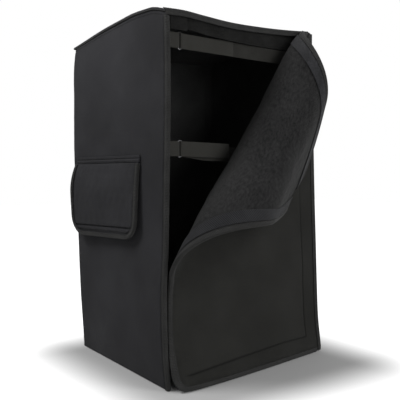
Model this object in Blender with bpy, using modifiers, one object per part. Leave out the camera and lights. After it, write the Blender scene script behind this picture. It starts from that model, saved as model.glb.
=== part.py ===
"""Padded slip cover for a loudspeaker cabinet, standing empty on its hem.

The front is a flap sewn on along its right edge. Its free upper corner is peeled open and rolled over
to the right. A handle flap stands proud of the left side, and two webbing straps cross the opening.

Metres, +Z up, front towards -Y. The origin is under the middle of the whole cover, on the surface.
"""

import math
from collections import namedtuple

import bmesh
import bpy
import numpy as np
from mathutils import Vector
from mathutils.kdtree import KDTree

# ---------------------------------------------------------------- driving dimensions

CLOTH = 0.0045          # padded cloth, thickness
TAPE = 0.0012           # binding tape, webbing and fastening tape, thickness
GAP = 0.0004            # air between pieces sewn together
SEAM_GAP = 0.0008       # air at the seams between panels
LEG = 0.009             # width of a binding on each face of the cloth
BAND = 0.029            # from a bound edge to the far edge of the fastening tape beside it
BACK_TURN = 0.010       # radius at which a side panel turns round its back corner
BACK_TAIL = 0.014       # how far it then runs on to its seam with the back panel
HEIGHT = 0.650          # of the sides, up to the top's edges
DEPTH = 0.3485          # of the sides, from front to back
BACK_WIDTH = 0.365      # between the outer faces of the sides, at the back
FOOT = 0.006            # below this the hem stands upright, flat on the surface

# Outer corners of the four upright edges, a row for each height.
Corner = namedtuple("Corner", "height x y")

FRONT_LEFT = (
    Corner(0.000, -0.1820, -0.1745),
    Corner(0.040, -0.1865, -0.1745),
    Corner(0.105, -0.1900, -0.1745),
    Corner(0.175, -0.1910, -0.1750),
    Corner(0.245, -0.1875, -0.1750),
    Corner(0.330, -0.1855, -0.1745),
    Corner(0.480, -0.1825, -0.1745),
    Corner(0.580, -0.1825, -0.1745),
    Corner(0.650, -0.1845, -0.1745),
)
BACK_LEFT = (
    Corner(0.000, -0.1770, 0.1740),
    Corner(0.100, -0.1830, 0.1740),
    Corner(0.240, -0.1890, 0.1745),
    Corner(0.420, -0.1970, 0.1745),
    Corner(0.530, -0.1970, 0.1740),
    Corner(0.620, -0.1940, 0.1740),
    Corner(0.650, -0.1890, 0.1740),
)
FRONT_RIGHT = (
    Corner(0.000, 0.2075, -0.1600),
    Corner(0.025, 0.2015, -0.1645),
    Corner(0.070, 0.1910, -0.1705),
    Corner(0.150, 0.1825, -0.1735),
    Corner(0.230, 0.1780, -0.1740),
    Corner(0.340, 0.1725, -0.1740),
    Corner(0.500, 0.1670, -0.1735),
    Corner(0.600, 0.1650, -0.1715),
    Corner(0.660, 0.1660, -0.1700),
)
BACK_RIGHT = (
    Corner(0.000, 0.1840, 0.1740),
    Corner(0.200, 0.1810, 0.1745),
    Corner(0.450, 0.1790, 0.1745),
    Corner(0.660, 0.1750, 0.1740),
)
# Closed left edge of the front flap, where the flap stands in the plane of the front.
FLAP_LEFT = (
    Corner(0.000, -0.1735, -0.1880),
    Corner(0.030, -0.1745, -0.1815),
    Corner(0.075, -0.1760, -0.1765),
    Corner(0.150, -0.1785, -0.1745),
    Corner(0.200, -0.1785, -0.1745),
    Corner(0.300, -0.1765, -0.1745),
    Corner(0.660, -0.1755, -0.1745),
)

# Height of the top's upper face along its edges, a row for each share of the edge.
Rise = namedtuple("Rise", "share height")

TOP_LEFT = (Rise(0.00, 0.6480), Rise(0.05, 0.6535), Rise(0.11, 0.6590), Rise(0.20, 0.6615),
            Rise(0.30, 0.6625), Rise(0.46, 0.6595), Rise(0.64, 0.6550), Rise(0.82, 0.6480),
            Rise(1.00, 0.6410))
TOP_RIGHT = (Rise(0.00, 0.6590), Rise(0.30, 0.6590), Rise(0.60, 0.6540), Rise(1.00, 0.6420))
TOP_FRONT = (Rise(0.00, 0.6480), Rise(0.10, 0.6500), Rise(0.22, 0.6480), Rise(0.40, 0.6455),
             Rise(0.60, 0.6475), Rise(0.80, 0.6520), Rise(0.92, 0.6560), Rise(1.00, 0.6590))
TOP_BACK = (Rise(0.00, 0.6410), Rise(0.50, 0.6390), Rise(1.00, 0.6420))
TOP_SAG = 0.006         # dip in the middle of the top
TOP_FRONT_SETBACK = 0.0050  # at its right end the top's front edge lies behind the flap
TOP_OVERHANG = 0.0010   # the top's edge stands this far proud of the sides
SIDE_DENT = 0.0040      # depth of the soft hollow in each side, twice that of the back's
TOP_DROOP = 0.020       # share of the top by its edge under which a panel still has to fit

# Front flap: a rectangle of cloth, its upper left corner drawn out to the left as it is peeled.
FLAP_WIDTH = 0.354
FLAP_HEIGHT = 0.654
HEM_BULGE = 0.007       # how far the middle of its hem stands out in front
HEM_BULGE_HEIGHT = 0.10
FLAP_LIFT = 0.0020      # the flap's cut edge is this far off the surface, inside its binding
PEEL_HEIGHT = 0.186     # below this the flap's left edge hangs straight
PEEL_DRAW = 0.1200      # how far the drawn-out corner lies beyond the straight left edge
PEEL_DROP = 0.0200      # and how far below the flap's right corner
PEEL_LEAD = 0.0180      # the bend starts this far before the line from the edge to the right corner
CORNER_STAND = 0.0160   # the free corner comes back to lie this far in front of the flap
CORNER_EASE = 0.25      # share of the way below that stand that it still goes
CORNER_LEAST = 0.0096   # and its least stand
FLAP_SQUARENESS = (4.0, 2.0)  # of its lower and upper free corner; 2 is a full round
# The roll, a row for each share of the way from the left edge to the flap's upper right corner.
Roll = namedtuple("Roll", "share radius turn")

ROLL = (
    Roll(0.00, 0.0435, 215.0),
    Roll(0.20, 0.0590, 215.0),
    Roll(0.44, 0.0545, 221.0),
    Roll(0.70, 0.0535, 217.0),
    Roll(1.00, 0.0360, 217.0),
)

# Handle flap on the left side.
HANDLE_CLOTH = 0.0036
HANDLE_FRONT = -0.089
HANDLE_BACK = 0.148
HANDLE_LOW = 0.2480
HANDLE_HIGH = 0.3930
HANDLE_TILT = 0.006     # its low edge is this much higher at the front
HANDLE_PROUD_FRONT = 0.007
HANDLE_PROUD_BACK = 0.015
HANDLE_RISE = 0.40      # share of its height over which it comes out to its full stand
HEADER_HEIGHT = 0.0130
HEADER_THICK = 0.0030
HEADER_GAP = 0.0007     # air between the header and the side
HANDLE_SQUARENESS = (2.6, 2.6)

# Straps across the opening.
WEBBING = 0.026
BAR_RADIUS = 0.0010
SLIDER_HALF_WIDTH = 0.0035
SLIDER_HALF_HEIGHT = 0.0160
SLIDER_X = -0.1510
SLIDER_CLIP = 0.0014    # cut across each corner of a slider
STRAP_Y = -0.1625       # mid plane of the long layer
STRAP_SETTLE = 0.014    # beyond the slider's bar the two layers come together over this length
STRAP_END_GAP = 0.0020  # between a strap's sewn end and the right side
TURN_ANGLES = (45, 90, 135)   # where webbing that turns round a bar has points
# A row for each strap: its height at the slider and at the right side, how far its long layer hangs
# below its short one, and where the short layer ends.
Strap = namedtuple("Strap", "name height right_height hang short_end")

STRAPS = (
    Strap("upper", 0.6010, 0.6000, 0.0000, -0.032),
    Strap("lower", 0.4160, 0.4120, 0.0060, -0.041),
)
BAND_LOW = 0.6170       # lower edge of the fastening band under the top
BAND_THICK = 0.0020
BAND_SETBACK = 0.0040   # how far its right end hangs back, behind the tape inside the flap
BAND_WAVE = 0.001       # unevenness of its lower edge

# Finishes: base colour, roughness, metallic.
FINISHES = {
    "cloth": ((0.028, 0.028, 0.031, 1.0), 0.85, 0.0),
    "binding": ((0.045, 0.045, 0.043, 1.0), 0.80, 0.0),
    "fastening": ((0.030, 0.031, 0.040, 1.0), 0.90, 0.0),
    "webbing": ((0.042, 0.042, 0.038, 1.0), 0.75, 0.0),
    "metal": ((0.35, 0.35, 0.36, 1.0), 0.30, 1.0),
}

# ---------------------------------------------------------------- steps of the facets

MERGE = 1e-6            # points nearer than this are one point
SHARP = 40              # degrees; a sharper bend keeps its edge
ALONG = np.array([0.0, LEG / DEPTH, 0.065, 0.115, 0.19, 0.28, 0.38, 0.50, 0.63, 0.76, 0.88, 0.9648])
ACROSS = np.array([0.0, 0.05, 0.12, 0.22, 0.32, 0.42, 0.52, 0.62, 0.72, 0.82, 0.91, 0.96, 1.0])
UPRIGHT = np.concatenate([[0.0, 0.0093], np.linspace(0.05, 0.984, 18), [1.0]])
BACK_UPRIGHT = np.concatenate([[0.0, 0.0095], np.linspace(0.1, 1.0, 9)])
BACK_COLUMNS = 7
TURN_STEPS = 3          # round the back corner of a side
FAN = 3                 # lines between the two sides of a rounded free corner
INNER_LEG_ROW = 2       # strip of a folded tape that lies on the cloth's inner face


# ---------------------------------------------------------------- curves through the tables

def smooth(at, places, values):
    """A smooth curve through the rows, read at one or many places."""
    at = np.asarray(at, float)
    places = np.asarray(places, float)
    values = np.asarray(values, float)
    slopes = np.gradient(values, places)
    row = np.clip(np.searchsorted(places, at, side="right") - 1, 0, len(places) - 2)
    span = places[row + 1] - places[row]
    t = np.clip((at - places[row]) / span, 0.0, 1.0)
    start = (2 * t**3 - 3 * t**2 + 1) * values[row] + (t**3 - 2 * t**2 + t) * span * slopes[row]
    end = (3 * t**2 - 2 * t**3) * values[row + 1] + (t**3 - t**2) * span * slopes[row + 1]
    return start + end


def corner_at(rows, height):
    """Plan position of an upright edge at the given heights."""
    heights = [row.height for row in rows]
    x = smooth(height, heights, [row.x for row in rows])
    y = smooth(height, heights, [row.y for row in rows])
    return np.stack([x, y], axis=-1)


def rise_at(rows, share):
    return smooth(share, [row.share for row in rows], [row.height for row in rows])


def blend(a, b, share):
    share = np.asarray(share, float)[..., None]
    return a * (1 - share) + b * share


def unit(vectors):
    return vectors / np.linalg.norm(vectors, axis=-1, keepdims=True)


def top_height(across, along):
    """Height of the top's upper face; shares run from left to right and from front to back."""
    sides = (1 - across) * rise_at(TOP_LEFT, along) + across * rise_at(TOP_RIGHT, along)
    ends = (1 - along) * rise_at(TOP_FRONT, across) + along * rise_at(TOP_BACK, across)
    corners = ((1 - across) * (1 - along) * TOP_LEFT[0].height
               + across * (1 - along) * TOP_RIGHT[0].height
               + (1 - across) * along * TOP_LEFT[-1].height
               + across * along * TOP_RIGHT[-1].height)
    dip = TOP_SAG * 16 * across * (1 - across) * along * (1 - along)
    return sides + ends - corners - dip


# ---------------------------------------------------------------- scene helpers

def start_scene():
    for old in list(bpy.data.objects):
        bpy.data.objects.remove(old, do_unlink=True)
    parts = bpy.data.collections.new("speaker_cover")
    bpy.context.scene.collection.children.link(parts)
    return parts


def finish(slot):
    """A sub-part's own material, in the finish of its slot."""
    color, roughness, metallic = FINISHES[slot]
    material = bpy.data.materials.new(slot)
    material.use_nodes = True
    shader = material.node_tree.nodes["Principled BSDF"]
    shader.inputs["Base Color"].default_value = color
    shader.inputs["Roughness"].default_value = roughness
    shader.inputs["Metallic"].default_value = metallic
    return material


def place_object(name, mesh, slot, parts):
    piece = bpy.data.objects.new(name, mesh)
    piece.data.materials.append(finish(slot))
    parts.objects.link(piece)
    return piece


def thicken(piece, thickness):
    """Give an open surface its thickness, half to each side."""
    solid = piece.modifiers.new("thickness", "SOLIDIFY")
    solid.thickness = thickness
    solid.offset = 0.0
    solid.use_even_offset = True
    return piece


def surface(bm, grid, mirrored=()):
    """Lay a grid of points as triangles, split along one diagonal, or the other in mirrored rows.

    Pieces that lie on each other share their grid lines and diagonals, and so keep their gap.
    """
    rows, columns = grid.shape[:2]
    verts = [[bm.verts.new(Vector(point)) for point in line] for line in grid]
    for r in range(rows - 1):
        for c in range(columns - 1):
            a, b = verts[r][c], verts[r][c + 1]
            d, e = verts[r + 1][c], verts[r + 1][c + 1]
            pairs = ((a, b, d), (b, e, d)) if r in mirrored else ((a, b, e), (a, e, d))
            for face in pairs:
                sides = zip(face, face[1:] + face[:1])
                if all((p.co - q.co).length > MERGE for p, q in sides):
                    bm.faces.new(face)


def joined(grids, mirrored=()):
    """One open surface from grids that share their edge points."""
    bm = bmesh.new()
    for grid in grids:
        surface(bm, grid, mirrored)
    bmesh.ops.remove_doubles(bm, verts=bm.verts, dist=MERGE)
    bm.normal_update()
    return bm


def normals_at(grids, points):
    """Normals of a joined surface at some of its own points, as Solidify will use them."""
    bm = joined(grids)
    bm.verts.ensure_lookup_table()
    tree = KDTree(len(bm.verts))
    for vert in bm.verts:
        tree.insert(vert.co, vert.index)
    tree.balance()
    normals = np.array([bm.verts[tree.find(point)[1]].normal[:] for point in points])
    bm.free()
    return normals


def sheet(name, grids, thickness, slot, parts, mirrored=()):
    """One piece of cloth, given its thickness."""
    bm = joined(grids, mirrored)
    mesh = bpy.data.meshes.new(name)
    bm.to_mesh(mesh)
    bm.free()
    mesh.shade_smooth()
    mesh.set_sharp_from_angle(angle=math.radians(SHARP))
    return thicken(place_object(name, mesh, slot, parts), thickness)


# ---------------------------------------------------------------- sides, back and top

def side_plan(front, back, other_back, height, share):
    """Mid surface of a side panel in plan, at one share of the way from front to back."""
    a = corner_at(front, height)
    b = corner_at(back, height)
    inward = unit(corner_at(other_back, height) - b)
    level = np.clip(height / HEIGHT, 0, 1)
    dent = SIDE_DENT * np.sin(math.pi * np.clip(share, 0, 1)) * np.sin(math.pi * level) ** 2
    return blend(a, b, share) + inward * (CLOTH / 2 + dent)[..., None]


def under_top(across, along):
    """Height at which a panel ends under the top's lower face, on the inside too."""
    inside = across + (TOP_DROOP if across < 0.5 else -TOP_DROOP)
    lowest = min(top_height(across, along), top_height(inside, along),
                 top_height(across, along - TOP_DROOP))
    return lowest - CLOTH - SEAM_GAP


def side_grid(front, back, other_back, across, front_setback):
    """Mid surface of a side panel: its length, the turn at the back corner, and the tail."""
    columns = []
    for along in ALONG:
        height = UPRIGHT * under_top(across, along)
        footed = np.maximum(height, FOOT)
        plan = side_plan(front, back, other_back, footed, np.full_like(height, along))
        if along == 0.0:
            plan[:, 1] += front_setback
        columns.append(np.column_stack([plan, height]))
    height = UPRIGHT * under_top(across, 1.0)
    footed = np.maximum(height, FOOT)
    b = corner_at(back, footed)
    run = unit(b - corner_at(front, footed))
    inward = unit(corner_at(other_back, footed) - b)
    corner = b + inward * CLOTH / 2 - run * CLOTH / 2
    start = columns[-1][:, :2]
    end = corner + inward * BACK_TURN
    for step in range(1, TURN_STEPS + 1):
        t = step / TURN_STEPS
        plan = (1 - t) ** 2 * start + 2 * t * (1 - t) * corner + t**2 * end
        columns.append(np.column_stack([plan, height]))
    tail = corner + inward * (BACK_TURN + BACK_TAIL)
    columns.append(np.column_stack([tail, height]))
    return np.stack(columns, axis=1)


def back_grid():
    """Mid surface of the back panel, between the tails of the sides."""
    height = BACK_UPRIGHT * under_top(0.5, 1.0)
    footed = np.maximum(height, FOOT)
    left = corner_at(BACK_LEFT, footed)
    right = corner_at(BACK_RIGHT, footed)
    across = unit(right - left)
    reach = CLOTH / 2 + BACK_TURN + BACK_TAIL + GAP + SEAM_GAP / 2
    left = left + across * reach
    right = right - across * reach
    columns = []
    for share in np.linspace(0.0, 1.0, BACK_COLUMNS):
        top = BACK_UPRIGHT * under_top(share_of_back(share), 1.0)
        plan = blend(left, right, np.full_like(height, share))
        dent = SIDE_DENT / 2 * math.sin(math.pi * share) * np.sin(math.pi * footed / HEIGHT) ** 2
        plan[:, 1] -= CLOTH / 2 + dent - dent[0]
        columns.append(np.column_stack([plan, top]))
    return np.stack(columns, axis=1)


def share_of_back(share):
    """Share of the whole back that a share of the back panel, inside its seams, stands for."""
    margin = (BACK_TURN + BACK_TAIL) / BACK_WIDTH
    return margin + share * (1 - 2 * margin)


def top_plan(across, along):
    """Plan position of a point of the top, from its shares from left to right and front to back."""
    height = np.full_like(across, HEIGHT)
    over = TOP_OVERHANG
    front_left = corner_at(FRONT_LEFT, height) + np.array([-over, 0.0])
    front_right = corner_at(FRONT_RIGHT, height) + np.array([over, TOP_FRONT_SETBACK])
    back_left = corner_at(BACK_LEFT, height) + np.array([-over, over])
    back_right = corner_at(BACK_RIGHT, height) + np.array([over, over])
    front = blend(front_left, front_right, across)
    back = blend(back_left, back_right, across)
    return blend(front, back, along)


def top_grid():
    """Mid surface of the top panel, out over the upper edges of the sides."""
    along, across = np.meshgrid(np.append(ALONG, 1.0), ACROSS, indexing="ij")
    height = top_height(across, along) - CLOTH / 2
    return np.dstack([top_plan(across, along), height])


# ---------------------------------------------------------------- front flap

def roll_at(share):
    """Radius and whole turn of the roll, in radians, at a share of its length."""
    places = [row.share for row in ROLL]
    radius = np.interp(share, places, [row.radius for row in ROLL])
    turn = np.radians(np.interp(share, places, [row.turn for row in ROLL]))
    return radius, turn


def peeled(s, z):
    """Flat place of a point of the flap once its upper left corner is drawn out to the left."""
    upper = np.clip((z - PEEL_HEIGHT) / (FLAP_HEIGHT - PEEL_HEIGHT), 0, 1)
    outer = 1 - np.clip((s - BAND) / (FLAP_WIDTH - BAND), 0, 1)
    return s - PEEL_DRAW * upper * outer, z - PEEL_DROP * upper * outer


def rolled(s, z):
    """Carry a flat point of the flap round the roll: its place in the front's plane, and its stand."""
    foot = np.array([0.0, PEEL_HEIGHT])
    line = np.array([FLAP_WIDTH, FLAP_HEIGHT]) - foot
    length = np.linalg.norm(line)
    e = line / length
    n = np.array([-e[1], e[0]])
    p = (s - foot[0]) * e[0] + (z - foot[1]) * e[1]
    q = (s - foot[0]) * n[0] + (z - foot[1]) * n[1]
    share = np.clip(p / length, 0, 1)
    radius, turn = roll_at(share)
    lead = -PEEL_LEAD * (1 - share)
    beyond = np.maximum(q - lead, 0)
    angle = np.minimum(beyond / radius, turn)
    rest = np.maximum(beyond - radius * turn, 0)
    bent = lead + radius * np.sin(angle) + rest * np.cos(turn)
    back = np.where(q > lead, bent, q)
    stand = np.where(q > lead, radius * (1 - np.cos(angle)) + rest * np.sin(turn), 0.0)
    eased = CORNER_STAND + CORNER_EASE * (stand - CORNER_STAND)
    stand = np.where((rest > 0) & (stand < CORNER_STAND), np.maximum(eased, CORNER_LEAST), stand)
    return foot[0] + p * e[0] + back * n[0], foot[1] + p * e[1] + back * n[1], stand


def flap_point(s, z):
    """Where a point of the flap's mid surface is, s from its free left edge and z from its hem."""
    s, z, stand = rolled(*peeled(s, z))
    height = z + FLAP_LIFT
    footed = np.maximum(height, FLAP_LIFT + LEG)
    left = corner_at(FLAP_LEFT, footed)
    right = corner_at(FRONT_RIGHT, footed)
    plan = blend(left, right, s / FLAP_WIDTH)
    bulge = HEM_BULGE * np.sin(math.pi * np.clip(s / FLAP_WIDTH, 0, 1)) ** 0.8
    bulge = bulge * np.clip(1 - (footed - FLAP_LIFT - LEG) / HEM_BULGE_HEIGHT, 0, 1) ** 2
    return np.stack([plan[..., 0], plan[..., 1] + CLOTH / 2 - stand - bulge, height], axis=-1)


def point_normal(point, s, z):
    """Outward unit normal of a surface given as a function of two lengths."""
    step = 0.0005
    over = point(s + step, z) - point(s - step, z)
    up = point(s, z + step) - point(s, z - step)
    return unit(np.cross(over, up))


# ---------------------------------------------------------------- cloth with three bound edges

class BoundPattern:
    """A rectangle of cloth bound on its low, left and high edges and sewn on along its right edge.

    Points are laid in rings that follow the bound edges, so that bindings and tapes share the
    cloth's own facets; inside the last ring lies a plain grid. Squareness sets the two free corners:
    2 is a full round of the band's width, more is squarer. The binding leaves the last bit before
    the sewn edge bare.
    """

    def __init__(self, width, rows, columns, squareness, point, thickness, bare):
        self.point = point
        self.rise = thickness / 2 + GAP + TAPE / 2
        self.x = np.append(np.linspace(BAND, width - bare, columns), width)
        self.y = rows
        self.squareness = squareness
        self.top = rows[-1]
        roots, ways = self.rim()
        flat = [roots + ways * (BAND - inset) for inset in (0.0, LEG, BAND)]
        self.lines = [point(ring[:, 0], ring[:, 1]) for ring in flat]
        grids = self.cloth()
        self.rings = [(line, normals_at(grids, line)) for line in self.lines]

    def rim(self):
        """Roots on the inner grid's edge and the way out from each, right end to right end."""
        roots = [(x, BAND) for x in self.x[::-1]]
        ways = [(0.0, -1.0) for _ in self.x]
        for angle in np.linspace(0, math.pi / 2, FAN + 2)[1:-1]:
            roots.append((BAND, BAND))
            ways.append(self.way(angle, self.squareness[0], -math.sin(angle), -math.cos(angle)))
        roots += [(BAND, y) for y in self.y]
        ways += [(-1.0, 0.0) for _ in self.y]
        for angle in np.linspace(0, math.pi / 2, FAN + 2)[1:-1]:
            roots.append((BAND, self.top))
            ways.append(self.way(angle, self.squareness[1], -math.cos(angle), math.sin(angle)))
        roots += [(x, self.top) for x in self.x]
        ways += [(0.0, 1.0) for _ in self.x]
        self.left_start = len(self.x) + FAN
        self.left_end = self.left_start + len(self.y)
        return np.array(roots), np.array(ways)

    @staticmethod
    def way(angle, power, x, y):
        """Way out from a corner's root, as long as the corner's squareness makes it."""
        reach = (abs(math.cos(angle)) ** power + abs(math.sin(angle)) ** power) ** (-1 / power)
        return (x * reach, y * reach)

    def cloth(self):
        """Grids of the whole cloth."""
        grid = np.stack(np.meshgrid(self.x, self.y), axis=-1)
        inner = self.point(grid[..., 0], grid[..., 1])
        return [np.stack(self.lines[::-1]), inner]

    def binding(self):
        """Mid surface of a tape folded over the three bound edges."""
        (edge, edge_normal), (leg, leg_normal) = self.rings[0], self.rings[1]
        keep = slice(1, -1)
        out = unit(edge - leg) * (GAP + TAPE / 2)
        profile = (leg + leg_normal * self.rise, edge + out + edge_normal * self.rise,
                   edge + out - edge_normal * self.rise, leg - leg_normal * self.rise)
        return np.stack([line[keep] for line in profile])

    def tape(self, start, end):
        """Mid surface of a flat tape on the inner face, between the binding and the last ring."""
        (near, near_normal), (far, far_normal) = self.rings[1], self.rings[2]
        lines = []
        for share in (0.97, 0.12):
            normal = unit(near_normal * (1 - share) + far_normal * share)
            lift = self.rise + GAP
            lines.append((near * (1 - share) + far * share - normal * lift)[start:end])
        return np.stack(lines)


def folded_over(edge, inner, normal):
    """Mid surface of a tape folded over one edge, from its edge and leg points."""
    out = unit(edge - inner) * (GAP + TAPE / 2)
    rise = CLOTH / 2 + GAP + TAPE / 2
    return np.stack([inner + normal * rise, edge + out + normal * rise,
                     edge + out - normal * rise, inner - normal * rise])


# ---------------------------------------------------------------- building each group

def build_panels(parts):
    """Sides, back and top. Gives back the left side's grid, which its binding follows."""
    flap_behind = CLOTH + SEAM_GAP
    left = side_grid(FRONT_LEFT, BACK_LEFT, BACK_RIGHT, 0.0, 0.0)
    right = side_grid(FRONT_RIGHT, BACK_RIGHT, BACK_LEFT, 1.0, flap_behind)
    sheet("left_side", [left], CLOTH, "cloth", parts)
    sheet("right_side", [right], CLOTH, "cloth", parts)
    sheet("back", [back_grid()], CLOTH, "cloth", parts)
    sheet("top", [top_grid()], CLOTH, "cloth", parts)
    return left


def build_left_binding(left, parts):
    normal = normals_at([left], left[:-1, 0])
    edge, inner = left[:-1, 0], left[:-1, 1]
    tape = folded_over(edge, inner, normal)
    sheet("left_side_binding", [tape], TAPE, "binding", parts, (INNER_LEG_ROW,))


def build_top_front(parts):
    """Binding along the top's front edge, and the fastening band that hangs behind it."""
    grid = top_grid()
    front = grid[0]
    edge, leg = grid[0][ACROSS < 0.93], grid[1][ACROSS < 0.93]
    rise = CLOTH / 2 + GAP + TAPE / 2
    corner = edge + unit(edge - leg) * (GAP + TAPE / 2) + normals_at([grid], edge) * rise
    low = corner - np.array([0.0, 0.0, LEG + TAPE])
    sheet("top_binding", [np.stack([leg + normals_at([grid], leg) * rise, corner, low])], TAPE, "binding",
          parts, (0,))
    inset = CLOTH + TAPE + 3 * GAP + SIDE_DENT
    x = np.clip(front[:, 0], front[0, 0] + inset + TOP_OVERHANG, front[-1, 0] - inset - TOP_OVERHANG - 0.001)
    share = (x - front[0, 0]) / (front[-1, 0] - front[0, 0])
    y = np.interp(x, front[:, 0], front[:, 1]) + BAND_THICK / 2 + BAND_SETBACK * share
    high = np.interp(x, front[:, 0], front[:, 2]) - CLOTH / 2 - GAP * 2
    low = BAND_LOW + BAND_WAVE * np.sin(3 * math.pi * share)
    band = np.stack([np.column_stack([x, y, low]), np.column_stack([x, y, (low + high) / 2]),
                     np.column_stack([x, y, high])], axis=1)
    sheet("top_fastening_band", [band], BAND_THICK, "fastening", parts)


def build_front_flap(parts):
    rows = np.concatenate([np.linspace(BAND, PEEL_HEIGHT, 7),
                           np.linspace(PEEL_HEIGHT, FLAP_HEIGHT - BAND, 31)[1:]])
    pattern = BoundPattern(FLAP_WIDTH, rows, 24, FLAP_SQUARENESS, flap_point, CLOTH, LEG * 1.2)
    sheet("front_flap", pattern.cloth(), CLOTH, "cloth", parts)
    sheet("front_flap_binding", [pattern.binding()], TAPE, "binding", parts, (INNER_LEG_ROW,))
    side = pattern.tape(pattern.left_start, pattern.left_end)
    sheet("flap_side_tape", [side], TAPE, "fastening", parts)
    high = pattern.tape(pattern.left_end + FAN + 1, -1)
    sheet("flap_top_tape", [high], TAPE, "fastening", parts)
    build_right_seam(pattern, parts)


def build_right_seam(pattern, parts):
    """Tape over the corner seam between the front flap and the right side."""
    rise = CLOTH / 2 + GAP + TAPE / 2
    z = np.concatenate([[0.0, LEG], pattern.y, [FLAP_HEIGHT - LEG, FLAP_HEIGHT - 0.002]])
    edge_s = np.full_like(z, FLAP_WIDTH)
    near_s = np.full_like(z, pattern.x[-2])
    edge = flap_point(edge_s, z)
    near = flap_point(near_s, z)
    edge_normal = point_normal(flap_point, edge_s, z)
    leg = edge + (near - edge) * (LEG / (FLAP_WIDTH - pattern.x[-2]) * 0.95)
    corner = edge + edge_normal * rise + np.array([SEAM_GAP * 2 + TAPE / 2, 0.0, 0.0])
    back = corner_at(BACK_RIGHT, edge[:, 2]) - corner_at(FRONT_RIGHT, edge[:, 2])
    run = unit(np.column_stack([back, np.zeros(len(z))]))
    profile = (leg + edge_normal * rise, corner, corner + run * (LEG + CLOTH))
    sheet("right_seam_binding", [np.stack(profile, axis=1)], TAPE, "binding", parts)


def side_face(y, z):
    """Outer face of the left side at a place along it."""
    front = corner_at(FRONT_LEFT, z)
    back = corner_at(BACK_LEFT, z)
    share = (y - front[..., 1]) / (back[..., 1] - front[..., 1])
    plan = side_plan(FRONT_LEFT, BACK_LEFT, BACK_RIGHT, z, share)
    return plan[..., 0] - CLOTH / 2


def handle_point(s, t):
    """Mid surface of the handle flap, s up from its free low edge and t forward from its back edge."""
    forward = np.clip(t / (HANDLE_BACK - HANDLE_FRONT), 0, 1)
    z = HANDLE_LOW + s + HANDLE_TILT * forward * (1 - s / (HANDLE_HIGH - HANDLE_LOW))
    y = HANDLE_BACK - t
    down = np.clip((HANDLE_HIGH - z) / (HANDLE_HIGH - HANDLE_LOW) / HANDLE_RISE, 0, 1)
    ease = down * down * (3 - 2 * down)
    proud = HANDLE_PROUD_BACK * (1 - forward) + HANDLE_PROUD_FRONT * forward
    low = np.clip((HANDLE_LOW + 0.05 - z) / 0.05, 0, 1)
    stand = HANDLE_CLOTH / 2 + TAPE + 3 * GAP + proud * (ease - 0.2 * low**2)
    return np.stack([side_face(y, z) - stand, y, z], axis=-1)


def build_handle_flap(parts):
    """Handle flap with its binding, and the header strip that it hangs from."""
    rows = np.linspace(BAND, HANDLE_BACK - HANDLE_FRONT - BAND, 11)
    pattern = BoundPattern(HANDLE_HIGH - HANDLE_LOW, rows, 8, HANDLE_SQUARENESS, handle_point,
                           HANDLE_CLOTH, HANDLE_CLOTH / 2)
    sheet("handle_flap", pattern.cloth(), HANDLE_CLOTH, "cloth", parts)
    sheet("handle_flap_binding", [pattern.binding()], TAPE, "binding", parts, (INNER_LEG_ROW,))
    y = np.linspace(HANDLE_FRONT, HANDLE_BACK, 9)
    rows = []
    for z in (HANDLE_HIGH + GAP * 2, HANDLE_HIGH + GAP * 2 + HEADER_HEIGHT):
        x = side_face(y, np.full_like(y, z)) - HEADER_THICK / 2 - HEADER_GAP
        rows.append(np.column_stack([x, y, np.full_like(y, z)]))
    sheet("handle_flap_header", [np.stack(rows)], HEADER_THICK, "cloth", parts)


def strap_layers(strap):
    """Folded section of a strap seen from above: points of its mid line with height drops."""
    bar_x = SLIDER_X + SLIDER_HALF_WIDTH
    reach = BAR_RADIUS + GAP + TAPE / 2
    right = corner_at(FRONT_RIGHT, np.array(strap.height))[0] - CLOTH - STRAP_END_GAP
    apart = TAPE + GAP
    line = []
    for x in np.linspace(right, bar_x + STRAP_SETTLE, 9):
        line.append((x, STRAP_Y, 1.0))
    line.append((bar_x, STRAP_Y, 1.0))
    for angle in TURN_ANGLES:
        turn = math.radians(angle)
        mid = STRAP_Y - reach
        line.append((bar_x - reach * math.sin(turn), mid + reach * math.cos(turn), 1 - angle / 180))
    line.append((bar_x, STRAP_Y - 2 * reach, 0.0))
    for x in np.linspace(bar_x + STRAP_SETTLE, strap.short_end, 5):
        line.append((x, STRAP_Y - apart, 0.0))
    return line, right, bar_x


def build_strap(strap, parts):
    """A strap with its tab and its slider."""
    line, right, bar_x = strap_layers(strap)
    low = []
    high = []
    for x, y, drop in line:
        share = max(0.0, (x - bar_x) / (right - bar_x))
        hang = strap.hang * drop * min(1.0, share * 6)
        height = strap.height + (strap.right_height - strap.height) * share - hang
        low.append((x, y, height - WEBBING / 2))
        high.append((x, y, height + WEBBING / 2))
    sheet(strap.name + "_strap", [np.array([low, high])], TAPE, "webbing", parts)
    build_tab(strap, parts)
    build_slider(strap, parts)


def build_tab(strap, parts):
    """Short loop of webbing from the left side round the slider's left bar."""
    bar_x = SLIDER_X - SLIDER_HALF_WIDTH
    reach = BAR_RADIUS + GAP + TAPE / 2
    mid = STRAP_Y - reach
    left = corner_at(FRONT_LEFT, np.array(strap.height))[0] + CLOTH + 2 * GAP
    line = [(left, mid + reach), (bar_x, mid + reach)]
    for angle in TURN_ANGLES:
        turn = math.radians(angle)
        line.append((bar_x + reach * math.sin(turn), mid + reach * math.cos(turn)))
    line.append((bar_x, mid - reach))
    line.append((left + TAPE + GAP, mid - reach))
    low = [(x, y, strap.height - WEBBING / 2) for x, y in line]
    high = [(x, y, strap.height + WEBBING / 2) for x, y in line]
    sheet(strap.name + "_tab", [np.array([low, high])], TAPE, "webbing", parts)


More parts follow.
